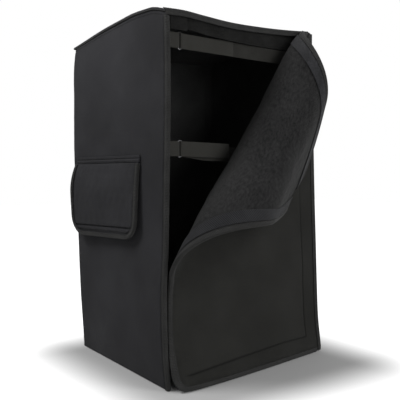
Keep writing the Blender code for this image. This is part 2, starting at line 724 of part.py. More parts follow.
def build_slider(strap, parts):
    """Rectangular wire buckle between tab and strap."""
    curve = bpy.data.curves.new(strap.name + "_slider", "CURVE")
    curve.dimensions = "3D"
    curve.bevel_depth = BAR_RADIUS
    curve.bevel_resolution = 2
    wire = curve.splines.new("POLY")
    outline = []
    for sx, sz in ((1, 1), (-1, 1), (-1, -1), (1, -1)):
        x = SLIDER_X + sx * SLIDER_HALF_WIDTH
        z = strap.height + sz * SLIDER_HALF_HEIGHT
        along = (x, z - sz * SLIDER_CLIP)
        over = (x - sx * SLIDER_CLIP, z)
        outline += [along, over] if sx * sz > 0 else [over, along]
    wire.points.add(len(outline) - 1)
    y = STRAP_Y - BAR_RADIUS - GAP - TAPE / 2
    for point, (x, z) in zip(wire.points, outline):
        point.co = (x, y, z, 1.0)
    wire.use_cyclic_u = True
    place_object(strap.name + "_slider", curve, "metal", parts)


def stand_on_origin(parts):
    """Parent all pieces to an empty that brings the middle of their common box over the origin."""
    bpy.context.view_layer.update()
    graph = bpy.context.evaluated_depsgraph_get()
    corners = []
    for piece in parts.objects:
        mesh = piece.evaluated_get(graph).to_mesh()
        corners += [vertex.co.copy() for vertex in mesh.vertices]
        piece.evaluated_get(graph).to_mesh_clear()
    low = Vector([min(c[i] for c in corners) for i in range(3)])
    high = Vector([max(c[i] for c in corners) for i in range(3)])
    middle = (low + high) / 2
    stand = bpy.data.objects.new("stand", None)
    parts.objects.link(stand)
    stand.location = (-middle.x, -middle.y, -low.z)
    for piece in parts.objects:
        if piece is not stand:
            piece.parent = stand
    bpy.context.view_layer.update()


def main():
    parts = start_scene()
    left = build_panels(parts)
    build_left_binding(left, parts)
    build_top_front(parts)
    build_front_flap(parts)
    build_handle_flap(parts)
    for strap in STRAPS:
        build_strap(strap, parts)
    stand_on_origin(parts)


main()
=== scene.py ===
"""Looks of a padded loudspeaker cover that stands empty with its front flap peeled open.

Every panel is a padded cloth with a smooth outer face and a felt lining. Bindings, tapes, webbing,
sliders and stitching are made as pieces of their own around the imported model.
"""

import math
from collections import namedtuple

import bpy
import numpy as np
from bpy.props import FloatProperty, FloatVectorProperty, PointerProperty
from bpy.types import Operator, Panel, PropertyGroup
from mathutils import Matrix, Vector


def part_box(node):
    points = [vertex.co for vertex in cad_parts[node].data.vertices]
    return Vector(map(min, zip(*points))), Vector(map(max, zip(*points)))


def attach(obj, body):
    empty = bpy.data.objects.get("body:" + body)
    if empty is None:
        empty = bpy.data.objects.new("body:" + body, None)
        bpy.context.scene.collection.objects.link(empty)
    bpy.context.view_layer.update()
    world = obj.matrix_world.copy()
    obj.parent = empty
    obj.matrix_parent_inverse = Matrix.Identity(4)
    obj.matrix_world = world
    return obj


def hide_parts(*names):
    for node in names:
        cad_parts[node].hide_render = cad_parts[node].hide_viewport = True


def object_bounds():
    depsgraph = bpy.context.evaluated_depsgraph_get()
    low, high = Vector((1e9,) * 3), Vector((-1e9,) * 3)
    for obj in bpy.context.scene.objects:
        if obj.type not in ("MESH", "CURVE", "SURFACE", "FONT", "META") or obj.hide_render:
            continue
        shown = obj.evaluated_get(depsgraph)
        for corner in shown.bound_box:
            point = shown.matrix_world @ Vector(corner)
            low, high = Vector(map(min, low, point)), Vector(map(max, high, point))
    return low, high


bl_info = {
    "name": "Padded speaker cover",
    "version": (1, 0, 0),
    "blender": (4, 5, 0),
    "location": "View3D > Sidebar > Cover",
    "description": "Builds the cloth, bindings, straps and stitching of a padded speaker cover",
    "category": "Object",
}

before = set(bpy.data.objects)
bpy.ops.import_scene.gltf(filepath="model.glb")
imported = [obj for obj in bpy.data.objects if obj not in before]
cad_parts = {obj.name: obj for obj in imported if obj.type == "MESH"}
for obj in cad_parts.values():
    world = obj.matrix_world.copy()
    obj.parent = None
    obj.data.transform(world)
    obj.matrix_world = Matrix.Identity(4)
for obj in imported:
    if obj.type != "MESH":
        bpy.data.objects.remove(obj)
CAD_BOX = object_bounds()

# ---------------------------------------------------------------- sizes of the cover

CLOTH = 0.0045          # padded cloth, thickness
TAPE = 0.0012           # binding, webbing and fastening tape, thickness
GAP = 0.0004            # air between pieces sewn together
SEAM_GAP = 0.0008       # air at the seams between panels
SEAM_TUCK = 0.0015      # how far a panel reaches into the cloth that it is sewn to
LEG = 0.009             # width of a binding's leg as it is cut
BINDING = 0.0074        # and as it lies on each face of the cloth
STITCH_IN = 0.0019      # a stitch line runs this far inside a tape's edge
TOPSTITCH = 0.0085      # and this far from a panel's own seams
BESIDE = BINDING + 0.0026   # and this far from the left side's bound edge
DEPTH = 0.3485          # of the sides, from front to back
SIDE_RUN = 0.9648       # share of the depth before a side turns the back corner
PANEL_HEIGHT = 0.65     # of the panels, where the top's curve is left out
FULL_WIDTH = 0.365      # of the back, with the turned corners
TROUGH_SHADE_DEPTH = 0.0018   # a trough this deep gets the full painted shade
GRAIN_ANGLE = -0.65     # of the fibres, from the upright of each pattern
BAND = 0.029            # from a bound edge to the far edge of the fastening tape beside it
BACK_TURN = 0.010       # a side turns the back corner over this length
BACK_TAIL = 0.014       # and runs on along the back for this length
FOOT = 0.006            # below this height the panels stand upright
HAIR = 0.0006           # a small step to either side, to read the slope of a surface
CORNER_STEPS = 11       # steps of a tape along each half of a rounded corner

# Lengths that the rows and columns of the panels are spread over.
SIDE_HIGH = 0.645
BACK_HIGH = 0.635
BACK_WIDE = 0.315
TOP_WIDE = 0.355

Corner = namedtuple("Corner", "height x y")

FRONT_LEFT = (
    Corner(0.000, -0.1820, -0.1745),
    Corner(0.040, -0.1865, -0.1745),
    Corner(0.105, -0.1900, -0.1745),
    Corner(0.175, -0.1910, -0.1750),
    Corner(0.245, -0.1875, -0.1750),
    Corner(0.330, -0.1855, -0.1745),
    Corner(0.480, -0.1825, -0.1745),
    Corner(0.580, -0.1825, -0.1745),
    Corner(0.650, -0.1845, -0.1745),
)
BACK_LEFT = (
    Corner(0.000, -0.1770, 0.1740),
    Corner(0.100, -0.1830, 0.1740),
    Corner(0.240, -0.1890, 0.1745),
    Corner(0.420, -0.1970, 0.1745),
    Corner(0.530, -0.1970, 0.1740),
    Corner(0.620, -0.1940, 0.1740),
    Corner(0.650, -0.1890, 0.1740),
)
FRONT_RIGHT = (
    Corner(0.000, 0.2115, -0.1600),
    Corner(0.025, 0.2035, -0.1645),
    Corner(0.070, 0.1910, -0.1705),
    Corner(0.150, 0.1825, -0.1735),
    Corner(0.230, 0.1780, -0.1740),
    Corner(0.340, 0.1725, -0.1740),
    Corner(0.500, 0.1670, -0.1735),
    Corner(0.600, 0.1650, -0.1715),
    Corner(0.660, 0.1660, -0.1700),
)
BACK_RIGHT = (
    Corner(0.000, 0.1840, 0.1740),
    Corner(0.200, 0.1810, 0.1745),
    Corner(0.450, 0.1790, 0.1745),
    Corner(0.660, 0.1750, 0.1740),
)
FLAP_LEFT = (
    Corner(0.000, -0.1742, -0.1920),
    Corner(0.030, -0.1775, -0.1840),
    Corner(0.075, -0.1800, -0.1765),
    Corner(0.150, -0.1805, -0.1745),
    Corner(0.200, -0.1785, -0.1745),
    Corner(0.300, -0.1765, -0.1745),
    Corner(0.660, -0.1755, -0.1745),
)

Rise = namedtuple("Rise", "share height")

TOP_LEFT = (Rise(0.00, 0.6480), Rise(0.05, 0.6535), Rise(0.11, 0.6590), Rise(0.20, 0.6615),
            Rise(0.30, 0.6625), Rise(0.46, 0.6595), Rise(0.64, 0.6550), Rise(0.82, 0.6480),
            Rise(1.00, 0.6410))
TOP_RIGHT = (Rise(0.00, 0.6590), Rise(0.30, 0.6590), Rise(0.60, 0.6540), Rise(1.00, 0.6420))
TOP_FRONT = (Rise(0.00, 0.6480), Rise(0.10, 0.6500), Rise(0.22, 0.6480), Rise(0.40, 0.6455),
             Rise(0.60, 0.6475), Rise(0.80, 0.6520), Rise(0.92, 0.6560), Rise(1.00, 0.6590))
TOP_BACK = (Rise(0.00, 0.6410), Rise(0.50, 0.6390), Rise(1.00, 0.6420))
TOP_SAG = 0.006             # in the middle of the top
TOP_FRONT_SETBACK = 0.0050  # of the top's right front corner
TOP_OVERHANG = 0.0022       # of the top over the sides and the back
SIDE_DENT = 0.0040          # in the middle of a side

FLAP_WIDTH = 0.354       # of the flap laid flat, and its height
FLAP_HEIGHT = 0.654
FLAP_LIFT = 0.0020       # its hem hangs this far above the ground
FLAP_START = LEG * 1.2   # its binding and tapes begin this far from its sewn edge
HEM_BULGE = 0.014        # its hem swings this far forward
HEM_BULGE_HEIGHT = 0.10  # and hangs straight from this height on
PEEL_HEIGHT = 0.186      # height on the free edge where the roll begins
PEEL_DRAW = 0.1200       # the free corner is drawn out this far
PEEL_DROP = 0.0200       # and down this far
PEEL_LEAD = 0.0180       # at the free edge the roll begins this far before its line
FOLD_STAND = 0.0240      # where the free corner comes back this near, it is tucked under
FOLD_RADIUS = 0.0060     # of that fold
FOLD_END = math.radians(354)

Roll = namedtuple("Roll", "share radius turn")

ROLL = (
    Roll(0.00, 0.0435, 215.0),
    Roll(0.20, 0.0590, 215.0),
    Roll(0.44, 0.0545, 221.0),
    Roll(0.70, 0.0535, 217.0),
    Roll(0.88, 0.0480, 217.0),
    Roll(1.00, 0.0200, 217.0),
)
CREASE_IN = 0.317       # the flap's padding ends this far from its free edge
PAD_HEM = 0.020         # at that edge it ends this far above the hem,
PAD_RISE = 0.017        # and this much higher
PAD_RUN = 0.25          # this far along the hem
PAD_START = 0.014       # its low end shows from here on,
PAD_START_FADE = 0.016  # in full after this length
PAD_TOP = 0.40          # its upright end shows up to here,
PAD_TOP_FADE = 0.16     # in full this far below
PAD_DROP = 0.0003       # the cloth beyond the padding lies this much lower
SQUARE_LOW = 4.0        # squareness of the flap's lower free corner
SQUARE_HIGH = 2.0       # and of its upper one, a full round

HANDLE_CLOTH = 0.0036        # thickness of the handle flap
HANDLE_FRONT = -0.089        # its edges, from front to back and from low to high
HANDLE_BACK = 0.148
HANDLE_LOW = 0.2480
HANDLE_HIGH = 0.3930
HANDLE_TILT = 0.006          # its free edge is this much higher at the front
HANDLE_PROUD_FRONT = 0.007   # how far it stands off the side at the front
HANDLE_PROUD_BACK = 0.015    # and at the back
HANDLE_RISE_FRONT = 0.95     # it is off the side after this share of its height at the front
HANDLE_RISE_BACK = 0.42      # and at the back
HANDLE_NIP = 0.05            # its lowest part leans back to the side over this height
HANDLE_LEAN = 0.2            # by this share of how far it stands off
HANDLE_FOLD = 0.0200         # its crease runs this far from its free edge
HANDLE_CORNER = 0.038        # size of its rounded corners
HANDLE_SQUARE = 2.0          # and their squareness
HEADER_HEIGHT = 0.0130       # of the strip that it hangs from
HEADER_THICK = 0.0030

WEBBING = 0.026              # width of the webbing
WEB_SETTLE = 0.014           # it comes to lie flat this far from a bar
BAR_RADIUS = 0.0010          # of the slider's wire
SLIDER_HALF_WIDTH = 0.0035
SLIDER_HALF_HEIGHT = 0.0143
SLIDER_CORNER = 0.0026
SLIDER_X = -0.1510           # middle of the sliders
STRAP_Y = -0.1625            # middle of the webbing's long layer

Strap = namedtuple("Strap", "name height right_height hang short_end bow")

STRAPS = (
    Strap("upper", 0.6010, 0.6000, 0.0000, -0.032, 0.0006),
    Strap("lower", 0.4160, 0.4120, 0.0060, -0.041, 0.0030),
)
BAND_LOW = 0.6170            # low edge of the fastening band at its left end
BAND_FALL = 0.0045           # it lies this much lower at its right end
BAND_WAVE = 0.001            # its low edge waves this much,
BAND_BOW = 0.0012            # and its face this much
BAND_CUT = 0.005             # the long strip's left end is cut this much shorter
BAND_THICK = 0.0020
BAND_SETBACK = 0.0040        # its right end is this much further in
BAND_LEFT_END = 0.036        # length of its short left strip
BAND_RIGHT_START = 0.026     # the long strip begins this far from its left end

# ---------------------------------------------------------------- troughs and ridges of the cloth

Trough = namedtuple("Trough", "width depth")

PANEL_SEAM = Trough(0.0012, 0.0009)     # along the topstitching of a panel
UNDER_TOP = Trough(0.0016, 0.0014)      # where a panel goes in under the top
PAD_LOW = Trough(0.0018, 0.0017)        # end of the flap's padding above the hem
PAD_SIDE = Trough(0.0016, 0.0014)       # and beside the sewn edge
PAD_END = 0.003                         # the padding thins out over this length
FLAP_EDGE = Trough(0.0014, 0.0003)      # beside the flap's binding
TAPE_SEAM = Trough(0.0016, 0.0007)      # in the felt beside the fastening tapes
HANDLE_CREASE = Trough(0.0016, 0.0025)  # over the fastening patch behind the handle flap
HANDLE_SEAM = Trough(0.0011, 0.0010)    # below that crease
HANDLE_EDGE = Trough(0.0012, 0.0012)    # beside the handle flap's binding
BOUND_SEAM = Trough(0.0009, 0.0007)     # along the stitches of a folded binding
SEAM_SINK = 0.0007                      # topstitching lies this deep in its trough
FLAP_SWELL_EDGE = 0.06                  # the soft swells of the flap die out this near its edges
SWELL_EDGE = 0.05                       # and those of a panel
THREAD_LOW = 0.0018                     # no stitch path runs below this height

# ---------------------------------------------------------------- unevenness: heights and lengths

PANEL_WAVES = ((1.0, 0.19), (0.35, 0.075))      # in shares of the swell that is set
FLAP_WAVES = ((1.0, 0.21), (0.4, 0.09))
FLAP_SWELL = 0.8                                # of the panels' swell
PANEL_FELT = ((0.00022, 0.011),)
FLAP_FELT = ((0.00025, 0.012), (0.0003, 0.030))
HANDLE_WAVES = ((0.0007, 0.08),)
HANDLE_WRINKLES = ((0.0002, 0.02),)
GATHER_REACH, GATHER_LENGTH = 0.009, 0.015
FLAP_GATHERS = (0.0003, 0.010, 0.014)           # height, reach and length
SEEDS = {"left_side": 11, "right_side": 23, "back": 37, "top": 41, "flap": 51, "handle": 61}

# ---------------------------------------------------------------- stage

Lamp = namedtuple("Lamp", "name place aim size")

LAMPS = (
    Lamp("key", (1.1, -2.1, 1.9), (0.0, 0.0, 0.35), 1.2),
    Lamp("side", (-1.0, 0.30, 1.40), (-0.1, 0.0, 0.70), 0.6),
    Lamp("fill", (-0.40, -2.2, 0.45), (0.05, 0.0, 0.50), 1.1),
)
CAMERA_PLACE = (-0.7417, -1.0296, 0.3715)
CAMERA_TURN = math.radians(36.25)
CAMERA_TILT = math.radians(2.41)
SENSOR = 36.0
FLOOR_REACH = 6.0
FLOOR_DROP = 0.0004          # the floor lies this far under the hem
SHADE_HALF = 0.19            # half of the square round the cover that gets no glow
SHADE_RUN = 0.17             # and the way from there to the full glow


# ---------------------------------------------------------------- settings a user would change

class ClothSettings(PropertyGroup):
    """Cloth of the panels."""

    swell: FloatProperty(name="Swell", description="Height of the soft unevenness of the panels",
                         default=0.0016, min=0.0, unit="LENGTH")
    pucker: FloatProperty(name="Pucker", description="Height of the gathers along the seams",
                          default=0.00035, min=0.0, unit="LENGTH")
    side_color: FloatVectorProperty(name="Side colour", description="Face cloth of the sides and top",
                                    subtype="COLOR", size=3, default=(0.0178, 0.0178, 0.0203))
    front_color: FloatVectorProperty(name="Front colour", description="Face cloth of the front flap",
                                     subtype="COLOR", size=3, default=(0.0156, 0.0156, 0.0142))
    # painted light: this felt is paler than the flaps' felt, so that the shaded inside of the cover reads
    # lighter
    lining_lit_color: FloatVectorProperty(name="Lining colour", description="Felt of the sides, back and top",
                                      subtype="COLOR", size=3, default=(0.0350, 0.0352, 0.0348))
    felt_color: FloatVectorProperty(name="Felt colour", description="Felt of the flaps",
                                    subtype="COLOR", size=3, default=(0.0122, 0.0122, 0.0123))


class TapeSettings(PropertyGroup):
    """Bindings, webbing and fastening tapes."""

    binding_color: FloatVectorProperty(name="Binding colour", description="Ribbed edge binding",
                                       subtype="COLOR", size=3, default=(0.0220, 0.0220, 0.0215))
    webbing_color: FloatVectorProperty(name="Webbing colour", description="Straps and tabs",
                                       subtype="COLOR", size=3, default=(0.0240, 0.0235, 0.0208))
    fastening_color: FloatVectorProperty(name="Fastening colour", description="Hook and loop tapes",
                                         subtype="COLOR", size=3, default=(0.0165, 0.0168, 0.0186))
    # partly the band's own dark colour, partly painted shade for its place under the top's front edge
    band_color: FloatVectorProperty(name="Band colour", description="Loop band under the top's edge",
                                    subtype="COLOR", size=3, default=(0.0058, 0.0058, 0.0055))
    rib: FloatProperty(name="Rib", description="Distance between the ribs of the binding",
                       default=0.0026, min=0.0002, unit="LENGTH")


class ThreadSettings(PropertyGroup):
    """Sewing thread."""

    pitch: FloatProperty(name="Pitch", description="Distance from stitch to stitch",
                         default=0.0034, min=0.001, unit="LENGTH")
    length: FloatProperty(name="Length", description="Length of thread that shows in one stitch",
                          default=0.0025, min=0.0005, unit="LENGTH")
    radius: FloatProperty(name="Radius", description="Radius of the thread",
                          default=0.00028, min=0.00005, unit="LENGTH")
    color: FloatVectorProperty(name="Colour", description="Thread colour", subtype="COLOR", size=3,
                               default=(0.0330, 0.0330, 0.0320))


class StageSettings(PropertyGroup):
    """Floor, light and camera."""

    floor_color: FloatVectorProperty(name="Floor", description="Colour of the floor", subtype="COLOR",
                                     size=3, default=(0.42, 0.42, 0.42))
    world: FloatProperty(name="Surroundings", description="Strength of the pale surroundings",
                         default=0.43, min=0.0)
    glow: FloatProperty(name="Glow", description="Light added to the floor as the camera sees it",
                        default=1.00, min=0.0)
    key: FloatProperty(name="Key", description="Power of the key light", default=25.0, min=0.0)
    side: FloatProperty(name="Side", description="Power of the light on the left side",
                        default=16.0, min=0.0)
    fill: FloatProperty(name="Fill", description="Power of the fill light", default=30.0, min=0.0)
    lens: FloatProperty(name="Lens", description="Focal length of the camera", default=54.3,
                        unit="CAMERA")


# ---------------------------------------------------------------- curves through the tables

def smooth(at, places, values):
    """A smooth curve through the rows, read at one or many places."""
    at = np.asarray(at, float)
    places = np.asarray(places, float)
    values = np.asarray(values, float)
    slopes = np.gradient(values, places)
    row = np.clip(np.searchsorted(places, at, side="right") - 1, 0, len(places) - 2)
    span = places[row + 1] - places[row]
    t = np.clip((at - places[row]) / span, 0.0, 1.0)
    start = (2 * t**3 - 3 * t**2 + 1) * values[row] + (t**3 - 2 * t**2 + t) * span * slopes[row]
    end = (3 * t**2 - 2 * t**3) * values[row + 1] + (t**3 - t**2) * span * slopes[row + 1]
    return start + end


def corner_at(rows, height):
    """Plan position of an upright edge at the given heights."""
    heights = [row.height for row in rows]
    x = smooth(height, heights, [row.x for row in rows])
    y = smooth(height, heights, [row.y for row in rows])
    return np.stack([x, y], axis=-1)


def rise_at(rows, share):
    """Height along an edge of the top."""
    return smooth(share, [row.share for row in rows], [row.height for row in rows])


def blend(a, b, share):
    """Points between a and b."""
    share = np.asarray(share, float)[..., None]
    return a * (1 - share) + b * share


def unit(vectors):
    """The same directions, one long."""
    return vectors / np.maximum(np.linalg.norm(vectors, axis=-1, keepdims=True), 1e-12)


def top_height(across, along):
    """Height of the top's upper face; shares run from left to right and from front to back."""
    sides = (1 - across) * rise_at(TOP_LEFT, along) + across * rise_at(TOP_RIGHT, along)
    ends = (1 - along) * rise_at(TOP_FRONT, across) + along * rise_at(TOP_BACK, across)
    corners = ((1 - across) * (1 - along) * TOP_LEFT[0].height
               + across * (1 - along) * TOP_RIGHT[0].height
               + (1 - across) * along * TOP_LEFT[-1].height
               + across * along * TOP_RIGHT[-1].height)
    dip = TOP_SAG * 16 * across * (1 - across) * along * (1 - along)
    return sides + ends - corners - dip


def under_top(across, along):
    """Height at which a panel ends: a little way into the top, so that the seam lets no light in."""
    return top_height(across, along) - CLOTH + SEAM_TUCK


# ---------------------------------------------------------------- grids of the panels

def soft(u, v, length, seed):
    """Soft unevenness between about -1 and 1, its waves about one length long."""
    rng = np.random.default_rng(seed)
    total = np.zeros_like(u)
    for _ in range(7):
        angle = rng.uniform(0, math.tau)
        wave = length * rng.uniform(0.7, 1.6)
        total += np.sin(math.tau * (u * math.cos(angle) + v * math.sin(angle)) / wave
                        + rng.uniform(0, math.tau))
    return total / 3.2


def waves(u, v, seed, sizes):
    """Soft unevenness of several sizes together, each a height and a length."""
    return sum(height * soft(u, v, length, seed + step) for step, (height, length) in enumerate(sizes))


def gathered(distance, u, v, height, reach, length, seed):
    """Small gathers that die out away from a seam."""
    return height * np.exp(-np.abs(distance) / reach) * soft(u, v, length, seed)


def normals_of(grid):
    """Unit normals of a grid of points, right-handed from its columns and rows."""
    return unit(np.cross(np.gradient(grid, axis=1), np.gradient(grid, axis=0)))


def spaced(length, seam=0.0144, fine=0.0012, coarse=0.0045):
    """Places from 0 to a length, close together near both ends, where the seams are."""
    near = np.arange(int(round(seam / fine))) * fine
    middle = np.linspace(seam, length - seam, int((length - 2 * seam) / coarse))
    return np.concatenate([near, middle, (length - near)[::-1]])


def shares_over(length):
    """The same places as shares of the length."""
    return spaced(length) / length


def line_in(grid, inset, axis=1, far=False):
    """The line of a grid that runs at one distance inside its first or its last column or row."""
    lines = np.moveaxis(grid, axis, 0)
    lines = lines[::-1] if far else lines
    steps = np.linalg.norm(np.diff(lines[:, lines.shape[1] // 2, :3], axis=0), axis=-1)
    run = np.concatenate([[0], np.cumsum(steps)])
    after = int(np.searchsorted(run, inset))
    part = (inset - run[after - 1]) / (run[after] - run[after - 1])
    return lines[after - 1] * (1 - part) + lines[after] * part


def lengths(grid):
    """Distance along the columns and up the rows for each grid point, as a flat pattern would have."""
    over = np.linalg.norm(np.diff(grid, axis=1), axis=-1).mean(axis=0)
    up = np.linalg.norm(np.diff(grid, axis=0), axis=-1).mean(axis=1)
    u = np.concatenate([[0], np.cumsum(over)])
    v = np.concatenate([[0], np.cumsum(up)])
    return np.stack(np.meshgrid(u, v), axis=-1)


def side_grid(front, back, other_back, across, front_setback):
    """Mid surface of a side panel: its length, the turn at the back corner, and the tail."""
    shares = spaced(SIDE_RUN * DEPTH) / DEPTH
    up = shares_over(SIDE_HIGH)[:, None]
    height = up * under_top(np.full_like(shares, across), shares)[None, :]
    footed = np.maximum(height, FOOT)
    a = corner_at(front, footed)
    b = corner_at(back, footed)
    inward = unit(corner_at(other_back, footed) - b)
    level = np.clip(footed / PANEL_HEIGHT, 0, 1)
    dent = SIDE_DENT * np.sin(math.pi * shares)[None, :] * np.sin(math.pi * level) ** 2
    plan = blend(a, b, np.broadcast_to(shares, height.shape)) + inward * (CLOTH / 2 + dent)[..., None]
    plan[..., 1] += front_setback * np.clip(1 - shares * DEPTH / LEG, 0, 1)[None, :]
    straight = np.dstack([plan, height])
    height = up * under_top(np.array([across]), np.array([1.0]))[None, :]
    footed = np.maximum(height, FOOT)
    b = corner_at(back, footed)
    run = unit(b - corner_at(front, footed))
    inward = unit(corner_at(other_back, footed) - b)
    corner = b + inward * CLOTH / 2 - run * CLOTH / 2
    start = straight[:, -1:, :2]
    end = corner + inward * BACK_TURN
    t = np.linspace(0, 1, 10)[None, 1:, None]
    turn = (1 - t) ** 2 * start + 2 * t * (1 - t) * corner + t**2 * end
    tail = corner + inward * (BACK_TURN + BACK_TAIL * np.linspace(0, 1, 11)[None, 1:, None])
    plan = np.concatenate([turn, tail], axis=1)
    bent = np.dstack([plan, np.broadcast_to(height, plan.shape[:2])])
    return np.concatenate([straight, bent], axis=1)


def back_grid():
    """Mid surface of the back panel, between the tails of the sides."""
    up = shares_over(BACK_HIGH)[:, None]
    across = shares_over(BACK_WIDE)
    margin = (BACK_TURN + BACK_TAIL) / FULL_WIDTH
    shares = margin + across * (1 - 2 * margin)
    height = up * under_top(shares, np.ones_like(shares))[None, :]
    middle = np.maximum(up * under_top(np.array([0.5]), np.array([1.0])), FOOT)
    left = corner_at(BACK_LEFT, middle)
    right = corner_at(BACK_RIGHT, middle)
    over = unit(right - left)
    reach = CLOTH / 2 + BACK_TURN + BACK_TAIL - SEAM_TUCK
    plan = blend(left + over * reach, right - over * reach, np.broadcast_to(across, height.shape))
    level = middle / PANEL_HEIGHT
    dent = 0.5 * SIDE_DENT * np.sin(math.pi * across)[None, :] * np.sin(math.pi * level) ** 2
    plan[..., 1] -= CLOTH / 2 + dent - dent[:1]
    return np.dstack([plan, height])


def top_grid():
    """Mid surface of the top panel, out over the upper edges of the sides."""
    across, along = np.meshgrid(shares_over(TOP_WIDE), shares_over(DEPTH))
    height = np.full_like(across, PANEL_HEIGHT)
    over = TOP_OVERHANG
    front_left = corner_at(FRONT_LEFT, height) + np.array([-over, 0.0])
    front_right = corner_at(FRONT_RIGHT, height) + np.array([over, TOP_FRONT_SETBACK])
    back_left = corner_at(BACK_LEFT, height) + np.array([-over, over])
    back_right = corner_at(BACK_RIGHT, height) + np.array([over, over])
    plan = blend(blend(front_left, front_right, across), blend(back_left, back_right, across), along)
    return np.dstack([plan, top_height(across, along) - CLOTH / 2])


# ---------------------------------------------------------------- front flap and handle flap

def roll_at(share):
    """Radius and full turn of the roll, from the free edge to the sewn corner."""
    places = [row.share for row in ROLL]
    radius = smooth(share, places, [row.radius for row in ROLL])
    turn = np.radians(smooth(share, places, [row.turn for row in ROLL]))
    return radius, turn


def peeled(s, z):
    """Flat place of a point of the flap once its upper left corner is drawn out to the left."""
    upper = np.clip((z - PEEL_HEIGHT) / (FLAP_HEIGHT - PEEL_HEIGHT), 0, 1)
    outer = 1 - np.clip((s - BAND) / (FLAP_WIDTH - BAND), 0, 1)
    return s - PEEL_DRAW * upper * outer, z - PEEL_DROP * upper * outer


def rolled(s, z):
    """Carry a flat point of the flap round the roll: its place in the front's plane, and its stand."""
    foot = np.array([0.0, PEEL_HEIGHT])
    line = np.array([FLAP_WIDTH, FLAP_HEIGHT]) - foot
    length = np.linalg.norm(line)
    e = line / length
    n = np.array([-e[1], e[0]])
    p = (s - foot[0]) * e[0] + (z - foot[1]) * e[1]
    q = (s - foot[0]) * n[0] + (z - foot[1]) * n[1]
    share = np.clip(p / length, 0, 1)
    radius, turn = roll_at(share)
    lead = -PEEL_LEAD * (1 - share)
    beyond = np.maximum(q - lead, 0)
    angle = np.minimum(beyond / radius, turn)
    rest = np.maximum(beyond - radius * turn, 0)
    straight = np.minimum(rest, (radius * (1 - np.cos(turn)) - FOLD_STAND) / -np.sin(turn))
    folded = np.minimum((rest - straight) / FOLD_RADIUS, FOLD_END - turn)
    tail = np.maximum(rest - straight - FOLD_RADIUS * folded, 0)
    heading = turn + folded
    bent = (lead + radius * np.sin(angle) + straight * np.cos(turn)
            + FOLD_RADIUS * (np.sin(heading) - np.sin(turn)) + tail * np.cos(FOLD_END))
    lifted = (radius * (1 - np.cos(angle)) + straight * np.sin(turn)
              + FOLD_RADIUS * (np.cos(turn) - np.cos(heading)) + tail * np.sin(FOLD_END))
    back = np.where(q > lead, bent, q)
    stand = np.where(q > lead, lifted, 0.0)
    return foot[0] + p * e[0] + back * n[0], foot[1] + p * e[1] + back * n[1], stand


def flap_point(s, z):
    """Where a point of the flap's mid surface is, s from its free left edge and z from its hem."""
    s, z, stand = rolled(*peeled(s, z))
    height = z + FLAP_LIFT
    footed = np.maximum(height, FLAP_LIFT + LEG)
    left = corner_at(FLAP_LEFT, footed)
    right = corner_at(FRONT_RIGHT, footed)
    plan = blend(left, right, s / FLAP_WIDTH)
    bulge = HEM_BULGE * np.sin(math.pi * np.clip(s / FLAP_WIDTH, 0, 1) ** 0.45) ** 0.8
    bulge = bulge * np.clip(1 - (footed - FLAP_LIFT - LEG) / HEM_BULGE_HEIGHT, 0, 1) ** 2
    return np.stack([plan[..., 0], plan[..., 1] + CLOTH / 2 - stand - bulge, height], axis=-1)


def side_face(y, z):
    """Outer face of the left side at a place along it."""
    front = corner_at(FRONT_LEFT, z)
    back = corner_at(BACK_LEFT, z)
    share = (y - front[..., 1]) / (back[..., 1] - front[..., 1])
    inward = unit(corner_at(BACK_RIGHT, z) - back)
    level = np.clip(z / PANEL_HEIGHT, 0, 1)
    dent = SIDE_DENT * np.sin(math.pi * np.clip(share, 0, 1)) * np.sin(math.pi * level) ** 2
    plan = blend(front, back, share) + inward * (CLOTH / 2 + dent)[..., None]
    return plan[..., 0] - CLOTH / 2


def handle_point(s, t):
    """Mid surface of the handle flap, s up from its free low edge and t forward from its back edge."""
    forward = np.clip(t / (HANDLE_BACK - HANDLE_FRONT), 0, 1)
    z = HANDLE_LOW + s + HANDLE_TILT * forward * (1 - s / (HANDLE_HIGH - HANDLE_LOW))
    y = HANDLE_BACK - t
    rise = HANDLE_RISE_BACK * (1 - forward) + HANDLE_RISE_FRONT * forward
    down = np.clip((HANDLE_HIGH - z) / (HANDLE_HIGH - HANDLE_LOW) / rise, 0, 1)
    proud = HANDLE_PROUD_BACK * (1 - forward) + HANDLE_PROUD_FRONT * forward
    low = np.clip((HANDLE_LOW + HANDLE_NIP - z) / HANDLE_NIP, 0, 1)
    stand = HANDLE_CLOTH / 2 + TAPE + 3 * GAP + proud * (1 - (1 - down) ** 2 - HANDLE_LEAN * low**2)
    return np.stack([side_face(y, z) - stand, y, z], axis=-1)


